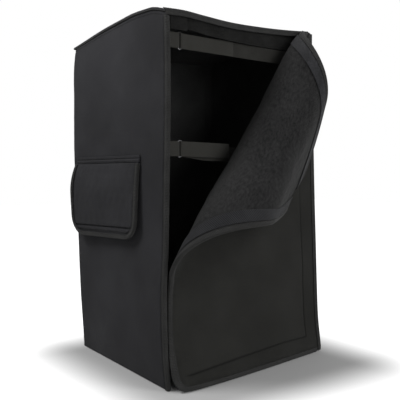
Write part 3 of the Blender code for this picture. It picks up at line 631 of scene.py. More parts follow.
class BoundCloth:
    """A rectangle of cloth bound on its low, left and high edges, with two rounded free corners."""

    def __init__(self, point, width, height, corner, low_square, high_square):
        self.point = point
        self.corner = corner
        self.width = width
        self.height = height
        self.squares = (low_square, high_square)

    def eased(self, s, z):
        """Move the points of the two corner squares so that the outline turns in a round."""
        size = self.corner
        for root, sign, power in ((size, -1, self.squares[0]), (self.height - size, 1, self.squares[1])):
            a = (size - s) / size
            b = sign * (z - root) / size
            inside = (a > 0) & (b > 0)
            radius = np.maximum(np.hypot(a, b), 1e-9)
            cos, sin = np.abs(a) / radius, np.abs(b) / radius
            reach = np.maximum(cos**power + sin**power, 0.1) ** (-1 / power) * np.maximum(cos, sin)
            s = np.where(inside, size - a * reach * size, s)
            z = np.where(inside, root + sign * b * reach * size, z)
        return s, z

    def grid(self, columns, rows):
        """Points of the cloth, and their places on the flat pattern."""
        s, z = np.meshgrid(columns, rows)
        points = self.point(*self.eased(s, z))
        return points, np.stack([s, z], axis=-1)

    def ring(self, inset, step, start=0.0):
        """Points and normals along a line that keeps its distance from the bound edges."""
        right, low, high, size = self.width - start, inset, self.height - inset, self.corner
        across = np.linspace(right, size, max(3, int((right - size) / step)))
        upright = np.linspace(size, self.height - size, max(3, int((self.height - 2 * size) / step)))
        corner = np.linspace(0, 1, CORNER_STEPS + 1)
        turn = size - (size - inset) * corner
        low_turn = size - (size - inset) * corner[::-1][1:]
        high_turn = self.height - size + (size - inset) * corner[1:]

        def level(places, height):
            return places, np.full(len(places), height)

        def plumb(places):
            return np.full(len(places), inset), places

        line = (level(across, low), level(turn[1:], low), plumb(low_turn), plumb(upright[1:]),
                plumb(high_turn), level(turn[::-1][1:], high), level(across[::-1][1:], high))
        s = np.concatenate([part[0] for part in line])
        z = np.concatenate([part[1] for part in line])
        s, z = self.eased(s, z)
        over = self.point(s + HAIR, z) - self.point(s - HAIR, z)
        up = self.point(s, z + HAIR) - self.point(s, z - HAIR)
        return self.point(s, z), unit(np.cross(over, up))


# ---------------------------------------------------------------- meshes

RIM_PLACES = np.array([0.04, 0.14, 0.32, 0.60])         # lines near an edge, in thicknesses
RIM_LIMITS = np.array([0.1, 0.25, 0.45, 0.7])           # and at most, in spaces of the grid
RIM_SHARES = np.array([0.30, 0.55, 0.76, 0.91, 0.99])   # share of the thickness at each


def with_rim(layers, thickness):
    """Add lines close to all four edges, and give each point its share of the thickness there."""
    rim = RIM_PLACES * thickness
    for axis in (0, 1):
        layers = np.moveaxis(layers, axis, 0)
        for _ in range(2):
            gap = np.linalg.norm(layers[1, :, :3] - layers[0, :, :3], axis=-1).mean()
            steps = np.minimum(rim / gap, RIM_LIMITS)[:, None, None]
            extra = layers[:1] * (1 - steps) + layers[1:2] * steps
            layers = np.concatenate([layers[:1], extra, layers[1:]])[::-1]
        layers = np.moveaxis(layers, 0, axis)
    rows, columns = layers.shape[:2]
    down, over = np.ones(rows), np.ones(columns)
    for line in (down, over):
        line[:len(RIM_SHARES)] = RIM_SHARES
        line[-len(RIM_SHARES):] = RIM_SHARES[::-1]
    return layers, np.minimum.outer(down, over)


def cloth_mesh(name, grid, thickness, outward, pattern=None, relief=None, lining=None):
    """A closed sheet round a mid surface. Slot 0 is its outer face and rim, slot 1 its inner face.

    relief and lining raise the outer and the inner face by what they give for the flat pattern.
    """
    flat = lengths(grid) if pattern is None else pattern
    layers, share = with_rim(np.concatenate([grid, flat], axis=-1), thickness)
    points, flat = layers[..., :3], layers[..., 3:]
    normal = normals_of(points) * outward
    half = thickness / 2 * share
    height = relief(flat[..., 0], flat[..., 1]) * share if relief else np.zeros_like(share)
    raised = half + height
    lined = half + (lining(flat[..., 0], flat[..., 1]) * share if lining else 0.0)
    outer = points + normal * raised[..., None]
    inner = points - normal * lined[..., None]
    rows, columns = share.shape
    index = np.arange(rows * columns).reshape(rows, columns)
    a, b = index[:-1, :-1].ravel(), index[:-1, 1:].ravel()
    d, e = index[1:, :-1].ravel(), index[1:, 1:].ravel()
    count = rows * columns
    outer_faces = np.stack([a, b, e, d], axis=1)
    inner_faces = outer_faces[:, ::-1] + count
    loop = np.concatenate([index[0, :-1], index[:-1, -1], index[-1, :0:-1], index[:0:-1, 0]])
    after = np.roll(loop, -1)
    rim_faces = np.stack([after, loop, loop + count, after + count], axis=1)
    faces = np.concatenate([outer_faces, rim_faces, inner_faces])
    if outward < 0:
        faces = faces[:, ::-1]
    mesh = bpy.data.meshes.new(name)
    corners = np.concatenate([outer.reshape(-1, 3), inner.reshape(-1, 3)]) + SHIFT
    mesh.from_pydata(corners.tolist(), [], faces.tolist())
    slots = np.zeros(len(faces), dtype=np.int32)
    slots[len(outer_faces) + len(rim_faces):] = 1
    mesh.polygons.foreach_set("material_index", slots)
    uv = mesh.uv_layers.new(name="UVMap")
    flat_corners = np.concatenate([flat.reshape(-1, 2)] * 2)
    uv.data.foreach_set("uv", flat_corners[faces.ravel()].ravel())
    # painted shade: each point of the outer face keeps how deep its trough is, and the cloth's colour is
    # darkened there
    hollow = mesh.attributes.new("hollow", "FLOAT", "POINT")
    depth = np.clip(-height / TROUGH_SHADE_DEPTH, 0, 1).ravel()
    hollow.data.foreach_set("value", np.concatenate([depth, np.zeros_like(depth)]))
    mesh.shade_smooth()
    mesh.update()
    return mesh


def add_piece(name, mesh, materials, nodes):
    """Put a finished mesh into the scene in place of its plain solids."""
    piece = bpy.data.objects.new(name, mesh)
    bpy.context.scene.collection.objects.link(piece)
    for material in materials:
        piece.data.materials.append(material)
    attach(piece, "root")
    if nodes:
        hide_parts(*nodes)
    return piece


def ridge(distance, width, height):
    """A soft ridge along a line."""
    return height * np.exp(-(distance / width) ** 2)


def groove(distance, width, depth):
    """A soft trough where a seam or fold draws the cloth in."""
    return ridge(distance, width, -depth)


def ramp(distance):
    """From 0 to 1 over one unit either side of zero, with soft ends."""
    t = np.clip(distance / 2 + 0.5, 0, 1)
    return t * t * (3 - 2 * t)


FOLD_LINES = np.array([1.0, 0.94, 0.87, 0.80, 0.74, 0.68, 0.60, 0.45, 0.28, 0.13, 0.0])
NOSE_ANGLES = np.radians([60, 30, 0, -30, -60])
NOSE_REACH = 0.36       # of a folded tape over the edge, against its rise on the faces
SWELL = 0.0002          # of a folded tape beside its stitches
THREAD_SINK = 0.0004    # stitches lie this deep in a folded tape


def folded_tape(edge, leg, edge_normal, leg_normal, half):
    """Mid surface of a tape folded over an edge: a row for each station, a column for each turn.

    A shallow groove runs where it is stitched, and the tape swells a little on both sides of it.
    """
    insets = FOLD_LINES * BINDING
    seam = BINDING - STITCH_IN
    swell = SWELL * np.sin(math.pi * np.clip(insets / seam, 0, 1))
    rise = half + GAP + TAPE / 2 + swell + groove(insets - seam, *BOUND_SEAM)
    out = unit(edge - leg)
    columns = []
    for side in (1, -1):
        rows = []
        for inset, height in zip(insets, rise):
            t = inset / BINDING
            normal = unit(edge_normal * (1 - t) + leg_normal * t)
            rows.append(edge * (1 - t) + leg * t + normal * height * side)
        columns.append(rows)
    nose = []
    for angle in NOSE_ANGLES:
        ahead = rise[-1] * NOSE_REACH * math.cos(angle)
        nose.append(edge + out * ahead + edge_normal * rise[-1] * math.sin(angle))
    return np.stack(columns[0] + nose + columns[1][::-1], axis=1)


def tape_stitches(edge, leg, edge_normal, leg_normal, half, side):
    """Path of the stitches on one leg of a folded tape."""
    t = (BINDING - STITCH_IN) / BINDING
    normal = unit(edge_normal * (1 - t) + leg_normal * t)
    lift = half + GAP + TAPE - THREAD_SINK
    return edge * (1 - t) + leg * t + normal * lift * side


# ---------------------------------------------------------------- shader groups and materials

def new_group(name, inputs, outputs):
    """An empty node group with float or vector inputs, (name, kind, default), and float outputs."""
    group = bpy.data.node_groups.new(name, "ShaderNodeTree")
    for label, kind, default in inputs:
        socket = group.interface.new_socket(name=label, in_out="INPUT", socket_type=kind)
        if default is not None:
            socket.default_value = default
    for label in outputs:
        group.interface.new_socket(name=label, in_out="OUTPUT", socket_type="NodeSocketFloat")
    return group, group.nodes.new("NodeGroupInput"), group.nodes.new("NodeGroupOutput")


def math_node(tree, operation, *values):
    """A Math node fed by sockets or numbers; returns its output."""
    node = tree.nodes.new("ShaderNodeMath")
    node.operation = operation
    for slot, value in enumerate(values):
        if isinstance(value, (int, float)):
            node.inputs[slot].default_value = value
        else:
            tree.links.new(value, node.inputs[slot])
    return node.outputs[0]


def noise_node(tree, vector, scale, detail, roughness=0.5):
    """A Noise texture; its scale is a number or a socket."""
    node = tree.nodes.new("ShaderNodeTexNoise")
    tree.links.new(vector, node.inputs["Vector"])
    node.inputs["Detail"].default_value = detail
    node.inputs["Roughness"].default_value = roughness
    if isinstance(scale, (int, float)):
        node.inputs["Scale"].default_value = scale
    else:
        tree.links.new(scale, node.inputs["Scale"])
    return node.outputs["Fac"]


def stretch(tree, value, low, high):
    """Spread a value from low to high over 0 to 1, with soft ends."""
    node = tree.nodes.new("ShaderNodeMapRange")
    node.interpolation_type = "SMOOTHSTEP"
    node.inputs["From Min"].default_value = low
    node.inputs["From Max"].default_value = high
    tree.links.new(value, node.inputs["Value"])
    return node.outputs["Result"]


def weave_group():
    """Threads over and under: a height, and a mask of the gaps between threads."""
    inputs = (("Pattern", "NodeSocketVector", None), ("Pitch", "NodeSocketFloat", 0.001),
              ("Slant", "NodeSocketFloat", 0.0))
    group, given, out = new_group("thread_weave", inputs, ("Height", "Gaps"))
    parts = group.nodes.new("ShaderNodeSeparateXYZ")
    group.links.new(given.outputs["Pattern"], parts.inputs[0])
    turn = math_node(group, "DIVIDE", math.tau, given.outputs["Pitch"])
    slant = math_node(group, "MULTIPLY", parts.outputs[1], given.outputs["Slant"])
    over = math_node(group, "MULTIPLY", math_node(group, "ADD", parts.outputs[0], slant), turn)
    slant = math_node(group, "MULTIPLY", parts.outputs[0], given.outputs["Slant"])
    up = math_node(group, "MULTIPLY", math_node(group, "SUBTRACT", parts.outputs[1], slant), turn)
    both = math_node(group, "MULTIPLY", math_node(group, "SINE", over), math_node(group, "SINE", up))
    height = math_node(group, "MULTIPLY_ADD", both, 0.5, 0.5)
    group.links.new(height, out.inputs["Height"])
    gaps = math_node(group, "SUBTRACT", 1.0, math_node(group, "ABSOLUTE", both))
    group.links.new(math_node(group, "POWER", gaps, 3.0), out.inputs["Gaps"])
    return group


def rib_group():
    """Ribs across a tape, broken up a little along their length."""
    inputs = (("Pattern", "NodeSocketVector", None), ("Pitch", "NodeSocketFloat", 0.0016),
              ("Slant", "NodeSocketFloat", 0.0))
    group, given, out = new_group("tape_ribs", inputs, ("Height", "Gaps"))
    parts = group.nodes.new("ShaderNodeSeparateXYZ")
    group.links.new(given.outputs["Pattern"], parts.inputs[0])
    turn = math_node(group, "DIVIDE", math.tau, given.outputs["Pitch"])
    slant = math_node(group, "MULTIPLY", parts.outputs[0], given.outputs["Slant"])
    along = math_node(group, "MULTIPLY", math_node(group, "ADD", parts.outputs[1], slant), turn)
    wobble = noise_node(group, given.outputs["Pattern"], 700.0, 2.0)
    along = math_node(group, "ADD", along, math_node(group, "MULTIPLY", wobble, 1.6))
    wave = math_node(group, "MULTIPLY_ADD", math_node(group, "SINE", along), 0.5, 0.5)
    height = math_node(group, "POWER", wave, 0.6)
    group.links.new(height, out.inputs["Height"])
    group.links.new(math_node(group, "POWER", math_node(group, "SUBTRACT", 1.0, wave), 2.0),
                    out.inputs["Gaps"])
    return group


def mottle_group():
    """Uneven pile: broad light and dark areas, finer tufts, and a height for them."""
    inputs = (("Place", "NodeSocketVector", None), ("Broad", "NodeSocketFloat", 9.0),
              ("Fine", "NodeSocketFloat", 160.0))
    group, given, out = new_group("uneven_pile", inputs, ("Broad", "Tufts", "Height"))
    broad = noise_node(group, given.outputs["Place"], given.outputs["Broad"], 3.0, 0.55)
    fine = noise_node(group, given.outputs["Place"], given.outputs["Fine"], 5.0, 0.62)
    hair = noise_node(group, given.outputs["Place"],
                      math_node(group, "MULTIPLY", given.outputs["Fine"], 7.0), 2.0)
    group.links.new(stretch(group, broad, 0.32, 0.68), out.inputs["Broad"])
    group.links.new(stretch(group, fine, 0.33, 0.67), out.inputs["Tufts"])
    group.links.new(math_node(group, "MULTIPLY_ADD", hair, 0.45, fine), out.inputs["Height"])
    return group


def lint_group():
    """Sparse pale specks of lint."""
    inputs = (("Place", "NodeSocketVector", None), ("Amount", "NodeSocketFloat", 0.5))
    group, given, out = new_group("lint_specks", inputs, ("Lint",))
    cells = group.nodes.new("ShaderNodeTexVoronoi")
    cells.inputs["Scale"].default_value = 95.0
    cells.inputs["Randomness"].default_value = 1.0
    group.links.new(given.outputs["Place"], cells.inputs["Vector"])
    spot = stretch(group, cells.outputs["Distance"], 0.075, 0.03)
    few = stretch(group, noise_node(group, given.outputs["Place"], 26.0, 1.0), 0.60, 0.70)
    lint = math_node(group, "MULTIPLY", math_node(group, "MULTIPLY", spot, few), given.outputs["Amount"])
    group.links.new(lint, out.inputs["Lint"])
    return group


# Threads: show is the share of painted shade in the gaps between them
Threads = namedtuple("Threads", "show pitch slant ribs")
Pile = namedtuple("Pile", "show size broad height grain")
Finish = namedtuple("Finish", "name color contrast threads pile rough sheen lint")

THREAD_GAP_SHADE = 0.45                   # of the cloth's colour: painted shade between the threads
TROUGH_SHADE_TONE = 0.12                # of the cloth's colour: painted shade in a deep trough
TROUGH_SHADE_SHARE = 0.8                # the deepest trough has this share of that painted shade
LINT_COLOR = (0.22, 0.22, 0.21)
THREAD_RELIEF = 0.3               # height of the threads, in pitches
ROUGH_SPREAD = 0.10               # between the roughest and the smoothest areas
BUMP_STRENGTH = 0.9
CLOTH_SPECULAR = 0.10
SHEEN_ROUGHNESS = 0.45
BRIGHT_WIRE = (0.20, 0.20, 0.21)
WORN_WIRE = (0.06, 0.06, 0.058)
BACK_LAYER_SHADE = 0.72                  # of the webbing's colour: painted shade on a strap's long layer, where it shows beyond the short layer


def shaded(name):
    """A new material with its Principled shader, and the nodes and links to work on."""
    material = bpy.data.materials.new(name)
    material.use_nodes = True
    tree = material.node_tree
    return material, tree, tree.nodes["Principled BSDF"]


def mix_color(tree, share, low, high):
    """A colour between two sockets or plain colours."""
    node = tree.nodes.new("ShaderNodeMix")
    node.data_type = "RGBA"
    tree.links.new(share, node.inputs["Factor"])
    for socket, value in ((node.inputs["A"], low), (node.inputs["B"], high)):
        if isinstance(value, tuple):
            socket.default_value = (*value, 1.0)
        else:
            tree.links.new(value, socket)
    return node.outputs["Result"]


def placed(tree, group, vector, socket, **values):
    """A shader group in a material, fed by a vector, with its own values."""
    node = tree.nodes.new("ShaderNodeGroup")
    node.node_tree = group
    tree.links.new(vector, node.inputs[socket])
    for name, value in values.items():
        node.inputs[name].default_value = value
    return node.outputs


def toned(color, share):
    """A colour made darker or paler."""
    return tuple(channel * share for channel in color)


def fabric(finish, groups):
    """A cloth material from its finish: thread pattern, pile, soft areas and lint, with painted shade
    between the threads and in the cloth's troughs.
    """
    material, tree, shader = shaded(finish.name)
    threads, pile = finish.threads, finish.pile
    places = tree.nodes.new("ShaderNodeTexCoord")
    pattern = placed(tree, groups["ribs" if threads.ribs else "weave"], places.outputs["UV"], "Pattern",
                     Pitch=threads.pitch, Slant=threads.slant)
    lay = tree.nodes.new("ShaderNodeMapping")
    lay.vector_type = "TEXTURE"
    lay.inputs["Rotation"].default_value = (0.0, 0.0, GRAIN_ANGLE)
    lay.inputs["Scale"].default_value = (1.0, pile.grain, 1.0)
    tree.links.new(places.outputs["UV"], lay.inputs["Vector"])
    tufts = placed(tree, groups["mottle"], lay.outputs["Vector"], "Place", Broad=pile.broad, Fine=pile.size)
    lint = placed(tree, groups["lint"], places.outputs["Object"], "Place", Amount=finish.lint)
    tone = math_node(tree, "MULTIPLY_ADD", tufts["Tufts"], pile.show, 0.5 - pile.show / 2)
    tone = math_node(tree, "MULTIPLY_ADD", tufts["Broad"], 0.5, math_node(tree, "MULTIPLY", tone, 0.5))
    color = mix_color(tree, tone, toned(finish.color, 1 - finish.contrast),
                      toned(finish.color, 1 + finish.contrast))
    # painted shade in the gaps between the threads
    shade = math_node(tree, "MULTIPLY", pattern["Gaps"], threads.show)
    color = mix_color(tree, shade, color, toned(finish.color, THREAD_GAP_SHADE))
    # painted shade: the colour is darkened in the troughs of the cloth
    hollow = tree.nodes.new("ShaderNodeAttribute")
    hollow.attribute_name = "hollow"
    shade = math_node(tree, "MULTIPLY", hollow.outputs["Fac"], TROUGH_SHADE_SHARE)
    color = mix_color(tree, shade, color, toned(finish.color, TROUGH_SHADE_TONE))
    color = mix_color(tree, lint["Lint"], color, LINT_COLOR)
    tree.links.new(color, shader.inputs["Base Color"])
    rough = math_node(tree, "MULTIPLY_ADD", tufts["Broad"], -ROUGH_SPREAD, finish.rough + ROUGH_SPREAD / 2)
    tree.links.new(rough, shader.inputs["Roughness"])
    height = math_node(tree, "MULTIPLY", pattern["Height"], threads.pitch * THREAD_RELIEF)
    pile_height = math_node(tree, "MULTIPLY", tufts["Height"], pile.height)
    bump = tree.nodes.new("ShaderNodeBump")
    bump.inputs["Distance"].default_value = 1.0
    bump.inputs["Strength"].default_value = BUMP_STRENGTH
    tree.links.new(math_node(tree, "ADD", height, pile_height), bump.inputs["Height"])
    tree.links.new(bump.outputs["Normal"], shader.inputs["Normal"])
    shader.inputs["Specular IOR Level"].default_value = CLOTH_SPECULAR
    shader.inputs["Sheen Weight"].default_value = finish.sheen
    shader.inputs["Sheen Roughness"].default_value = SHEEN_ROUGHNESS
    return material


def slider_metal():
    """Bright plated wire with fine scratches and darker patches where it has worn."""
    material, tree, shader = shaded("slider_metal")
    places = tree.nodes.new("ShaderNodeTexCoord")
    worn = stretch(tree, noise_node(tree, places.outputs["Object"], 240.0, 3.0), 0.45, 0.65)
    tree.links.new(mix_color(tree, worn, BRIGHT_WIRE, WORN_WIRE), shader.inputs["Base Color"])
    scratch = noise_node(tree, places.outputs["Object"], 2400.0, 2.0)
    tree.links.new(math_node(tree, "MULTIPLY_ADD", scratch, 0.18, 0.30), shader.inputs["Roughness"])
    shader.inputs["Metallic"].default_value = 1.0
    return material


def make_materials(scene):
    """All finishes of the cover, by name."""
    cloth, tape, thread = scene.cover_cloth, scene.cover_tape, scene.cover_thread
    groups = {"weave": weave_group(), "ribs": rib_group(), "mottle": mottle_group(), "lint": lint_group()}
    webbing, fastening = tuple(tape.webbing_color), tuple(tape.fastening_color)
    felt_threads = Threads(0.10, 0.0011, 0.4, False)
    finishes = (
        Finish("side_cloth", tuple(cloth.side_color), 0.50, Threads(0.35, 0.0008, 0.0, False),
               Pile(0.5, 260.0, 5.5, 0.00008, 1.3), 0.74, 0.05, 0.10),
        Finish("front_cloth", tuple(cloth.front_color), 0.25, Threads(0.35, 0.0008, 0.0, False),
               Pile(0.7, 260.0, 9.0, 0.00008, 1.0), 0.80, 0.04, 0.25),
        Finish("felt", tuple(cloth.felt_color), 0.60, felt_threads,
               Pile(1.6, 340.0, 14.0, 0.00045, 2.6), 0.90, 0.06, 0.35),
        # painted light: the panels' felt lining, paler than the same felt on the flaps
        Finish("lining", tuple(cloth.lining_lit_color), 0.34, felt_threads,
               Pile(0.7, 340.0, 14.0, 0.00020, 1.6), 0.90, 0.06, 0.20),
        Finish("binding", tuple(tape.binding_color), 0.35, Threads(0.75, tape.rib, 0.0, True),
               Pile(0.8, 420.0, 20.0, 0.00010, 1.0), 0.72, 0.06, 0.10),
        Finish("webbing", webbing, 0.14, Threads(0.55, 0.0021, 0.5, False),
               Pile(0.6, 420.0, 14.0, 0.00010, 1.0), 0.66, 0.06, 0.05),
        # painted shade: a darker copy of the webbing for a strap's long layer
        Finish("webbing_back", toned(webbing, BACK_LAYER_SHADE), 0.30, Threads(0.45, 0.0021, 0.5, False),
               Pile(0.9, 300.0, 30.0, 0.00010, 1.0), 0.70, 0.06, 0.05),
        # the band's colour holds painted shade from the top's front edge above it as well as its own dark
        # tone
        Finish("band_tape", tuple(tape.band_color), 0.55, Threads(0.15, 0.0016, 0.0, False),
               Pile(1.4, 240.0, 24.0, 0.00040, 1.0), 0.86, 0.05, 0.10),
        Finish("loop_tape", fastening, 0.40, Threads(0.15, 0.0016, 0.0, False),
               Pile(1.5, 240.0, 24.0, 0.00050, 1.0), 0.88, 0.08, 0.20),
        Finish("hook_tape", fastening, 0.25, Threads(0.60, 0.0032, 0.3, True),
               Pile(0.8, 380.0, 30.0, 0.00020, 1.0), 0.62, 0.06, 0.10),
        Finish("thread", tuple(thread.color), 0.10, Threads(0.3, 0.0006, 0.0, True),
               Pile(0.5, 900.0, 30.0, 0.00004, 1.0), 0.55, 0.10, 0.0),
    )
    materials = {finish.name: fabric(finish, groups) for finish in finishes}
    materials["metal"] = slider_metal()
    return materials


# ---------------------------------------------------------------- stitches by geometry nodes

STITCH_LEAN = 0.12      # of one bit of thread to another


def stitch_tree(material):
    """Thread bits along every path: evenly spaced, laid along the path, each leaning a little at random."""
    tree = bpy.data.node_groups.new("stitch_run", "GeometryNodeTree")
    tree.interface.new_socket(name="Geometry", in_out="INPUT", socket_type="NodeSocketGeometry")
    for label in ("Pitch", "Length", "Radius"):
        tree.interface.new_socket(name=label, in_out="INPUT", socket_type="NodeSocketFloat")
    tree.interface.new_socket(name="Geometry", in_out="OUTPUT", socket_type="NodeSocketGeometry")
    given, out = tree.nodes.new("NodeGroupInput"), tree.nodes.new("NodeGroupOutput")
    curve = tree.nodes.new("GeometryNodeMeshToCurve")
    points = tree.nodes.new("GeometryNodeCurveToPoints")
    points.mode = "LENGTH"
    bit = tree.nodes.new("GeometryNodeMeshUVSphere")
    bit.inputs["Segments"].default_value = 6
    bit.inputs["Rings"].default_value = 5
    bit.inputs["Radius"].default_value = 1.0
    size = tree.nodes.new("ShaderNodeCombineXYZ")
    half = tree.nodes.new("ShaderNodeMath")
    half.operation = "DIVIDE"
    half.inputs[1].default_value = 2.0
    shape = tree.nodes.new("GeometryNodeTransform")
    aim = tree.nodes.new("FunctionNodeAlignRotationToVector")
    aim.axis = "Z"
    wobble = tree.nodes.new("FunctionNodeRandomValue")
    wobble.data_type = "FLOAT_VECTOR"
    wobble.inputs["Min"].default_value = (-STITCH_LEAN,) * 3
    wobble.inputs["Max"].default_value = (STITCH_LEAN,) * 3
    wobble.inputs["Seed"].default_value = 7
    lean = tree.nodes.new("ShaderNodeVectorMath")
    place = tree.nodes.new("GeometryNodeInstanceOnPoints")
    solid = tree.nodes.new("GeometryNodeRealizeInstances")
    paint = tree.nodes.new("GeometryNodeSetMaterial")
    paint.inputs["Material"].default_value = material
    shade = tree.nodes.new("GeometryNodeSetShadeSmooth")
    link = tree.links.new
    link(given.outputs["Geometry"], curve.inputs["Mesh"])
    link(curve.outputs["Curve"], points.inputs["Curve"])
    link(given.outputs["Pitch"], points.inputs["Length"])
    link(given.outputs["Radius"], size.inputs["X"])
    link(given.outputs["Radius"], size.inputs["Y"])
    link(given.outputs["Length"], half.inputs[0])
    link(half.outputs[0], size.inputs["Z"])
    link(bit.outputs["Mesh"], shape.inputs["Geometry"])
    link(size.outputs[0], shape.inputs["Scale"])
    link(points.outputs["Tangent"], lean.inputs[0])
    link(wobble.outputs["Value"], lean.inputs[1])
    link(lean.outputs[0], aim.inputs["Vector"])
    link(points.outputs["Points"], place.inputs["Points"])
    link(shape.outputs["Geometry"], place.inputs["Instance"])
    link(aim.outputs["Rotation"], place.inputs["Rotation"])
    link(place.outputs["Instances"], solid.inputs["Geometry"])
    link(solid.outputs["Geometry"], shade.inputs["Geometry"])
    link(shade.outputs["Geometry"], paint.inputs["Geometry"])
    link(paint.outputs["Geometry"], out.inputs["Geometry"])
    return tree


def add_stitches(name, paths, tree, settings):
    """Sew along paths: each is a row of points in the cover's own axes."""
    vertices, edges = [], []
    for path in paths:
        start = len(vertices)
        path = np.asarray(path)
        vertices += (path[path[:, 2] > THREAD_LOW] + SHIFT).tolist()
        edges += [(i, i + 1) for i in range(start, len(vertices) - 1)]
    wire = bpy.data.meshes.new(name + "_path")
    wire.from_pydata(vertices, edges, [])
    run = bpy.data.objects.new(name + "_path", wire)
    bpy.context.scene.collection.objects.link(run)
    sewing = run.modifiers.new("stitches", "NODES")
    sewing.node_group = tree
    values = {"Pitch": settings.pitch, "Length": settings.length, "Radius": settings.radius}
    for item in tree.interface.items_tree:
        if item.in_out == "INPUT" and item.name in values:
            sewing[item.identifier] = values[item.name]
    run.update_tag()
    bpy.context.view_layer.update()
    graph = bpy.context.evaluated_depsgraph_get()
    mesh = bpy.data.meshes.new_from_object(run.evaluated_get(graph))
    mesh.name = name
    bpy.data.objects.remove(run, do_unlink=True)
    piece = bpy.data.objects.new(name, mesh)
    bpy.context.scene.collection.objects.link(piece)
    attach(piece, "root")
    return piece


# ---------------------------------------------------------------- what every operator shares

shop = {"materials": {}, "stitches": []}


def sew(*paths):
    """Leave stitch paths, in the cover's own axes, for the last operator."""
    shop["stitches"].extend(paths)


def slider_place():
    """From the cover's own axes to the frame's: the upper slider is known in both."""
    low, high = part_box("upper_slider")
    middle = (np.array(low) + np.array(high)) / 2
    depth = STRAP_Y - BAR_RADIUS - GAP - TAPE / 2
    return np.array([middle[0] - SLIDER_X, middle[1] - depth, 0.0])


SHIFT = slider_place()


class COVER_OT_stage(Operator):
    """Set up the floor, the light and the camera."""

    bl_idname = "cover.stage"
    bl_label = "Stage"

    def execute(self, context):
        settings = context.scene.cover_stage
        self.floor(settings)
        self.lights(settings)
        self.camera(settings)
        shop["materials"] = make_materials(context.scene)
        return {"FINISHED"}

    def floor(self, settings):
        """A pale floor that glows to the camera, but for the soft shade round the cover."""
        mesh = bpy.data.meshes.new("floor")
        low = CAD_BOX[0][2] - FLOOR_DROP
        reach = FLOOR_REACH
        mesh.from_pydata([(-reach, -reach, low), (reach, -reach, low), (reach, reach, low),
                          (-reach, reach, low)], [], [(0, 1, 2, 3)])
        floor = bpy.data.objects.new("floor", mesh)
        bpy.context.scene.collection.objects.link(floor)
        material, tree, shader = shaded("floor")
        places = tree.nodes.new("ShaderNodeTexCoord")
        uneven = noise_node(tree, places.outputs["Object"], 1.5, 3.0)
        base = tuple(settings.floor_color)
        tree.links.new(mix_color(tree, uneven, toned(base, 0.985), base), shader.inputs["Base Color"])
        shader.inputs["Roughness"].default_value = 0.9
        shader.inputs["Specular IOR Level"].default_value = 0.0
        shader.inputs["Emission Color"].default_value = (1.0, 1.0, 1.0, 1.0)
        seen = tree.nodes.new("ShaderNodeLightPath").outputs["Is Camera Ray"]
        away = places.outputs["Object"]
        for operation, other in (("ABSOLUTE", None), ("SUBTRACT", (SHADE_HALF, SHADE_HALF, 1.0)),
                                 ("MAXIMUM", (0.0, 0.0, 0.0)), ("LENGTH", None)):
            node = tree.nodes.new("ShaderNodeVectorMath")
            node.operation = operation
            tree.links.new(away, node.inputs[0])
            if other:
                node.inputs[1].default_value = other
            away = node.outputs["Value" if operation == "LENGTH" else "Vector"]
        open_floor = stretch(tree, away, 0.0, SHADE_RUN)
        glow = math_node(tree, "MULTIPLY", math_node(tree, "MULTIPLY", seen, settings.glow), open_floor)
        tree.links.new(glow, shader.inputs["Emission Strength"])
        floor.data.materials.append(material)

    def lights(self, settings):
        """Pale surroundings and three soft lamps."""
        world = bpy.data.worlds.new("surroundings")
        bpy.context.scene.world = world
        world.use_nodes = True
        tree = world.node_tree
        sky = tree.nodes["Background"]
        sky.inputs["Color"].default_value = (1.0, 1.0, 1.0, 1.0)
        seen = tree.nodes.new("ShaderNodeLightPath").outputs["Is Camera Ray"]
        tree.links.new(math_node(tree, "MAXIMUM", seen, settings.world), sky.inputs["Strength"])
        for lamp in LAMPS:
            light = bpy.data.lights.new(lamp.name, "AREA")
            light.shape = "DISK"
            light.size = lamp.size
            light.energy = getattr(settings, lamp.name)
            holder = bpy.data.objects.new(lamp.name, light)
            holder.location = lamp.place
            aim = Vector(lamp.aim) - Vector(lamp.place)
            holder.rotation_euler = aim.to_track_quat("-Z", "Y").to_euler()
            bpy.context.scene.collection.objects.link(holder)

    def camera(self, settings):
        """The camera, at the front left, looking a little down."""
        bpy.context.scene.view_settings.view_transform = "Standard"
        data = bpy.data.cameras.new("camera")
        data.lens = settings.lens
        data.sensor_width = SENSOR
        camera = bpy.data.objects.new("camera", data)
        bpy.context.scene.collection.objects.link(camera)
        camera.location = Vector(CAMERA_PLACE) + Vector(SHIFT)
        level = math.cos(CAMERA_TILT)
        look = Vector((math.sin(CAMERA_TURN) * level, math.cos(CAMERA_TURN) * level,
                       -math.sin(CAMERA_TILT)))
        camera.rotation_euler = look.to_track_quat("-Z", "Y").to_euler()
        bpy.context.scene.camera = camera


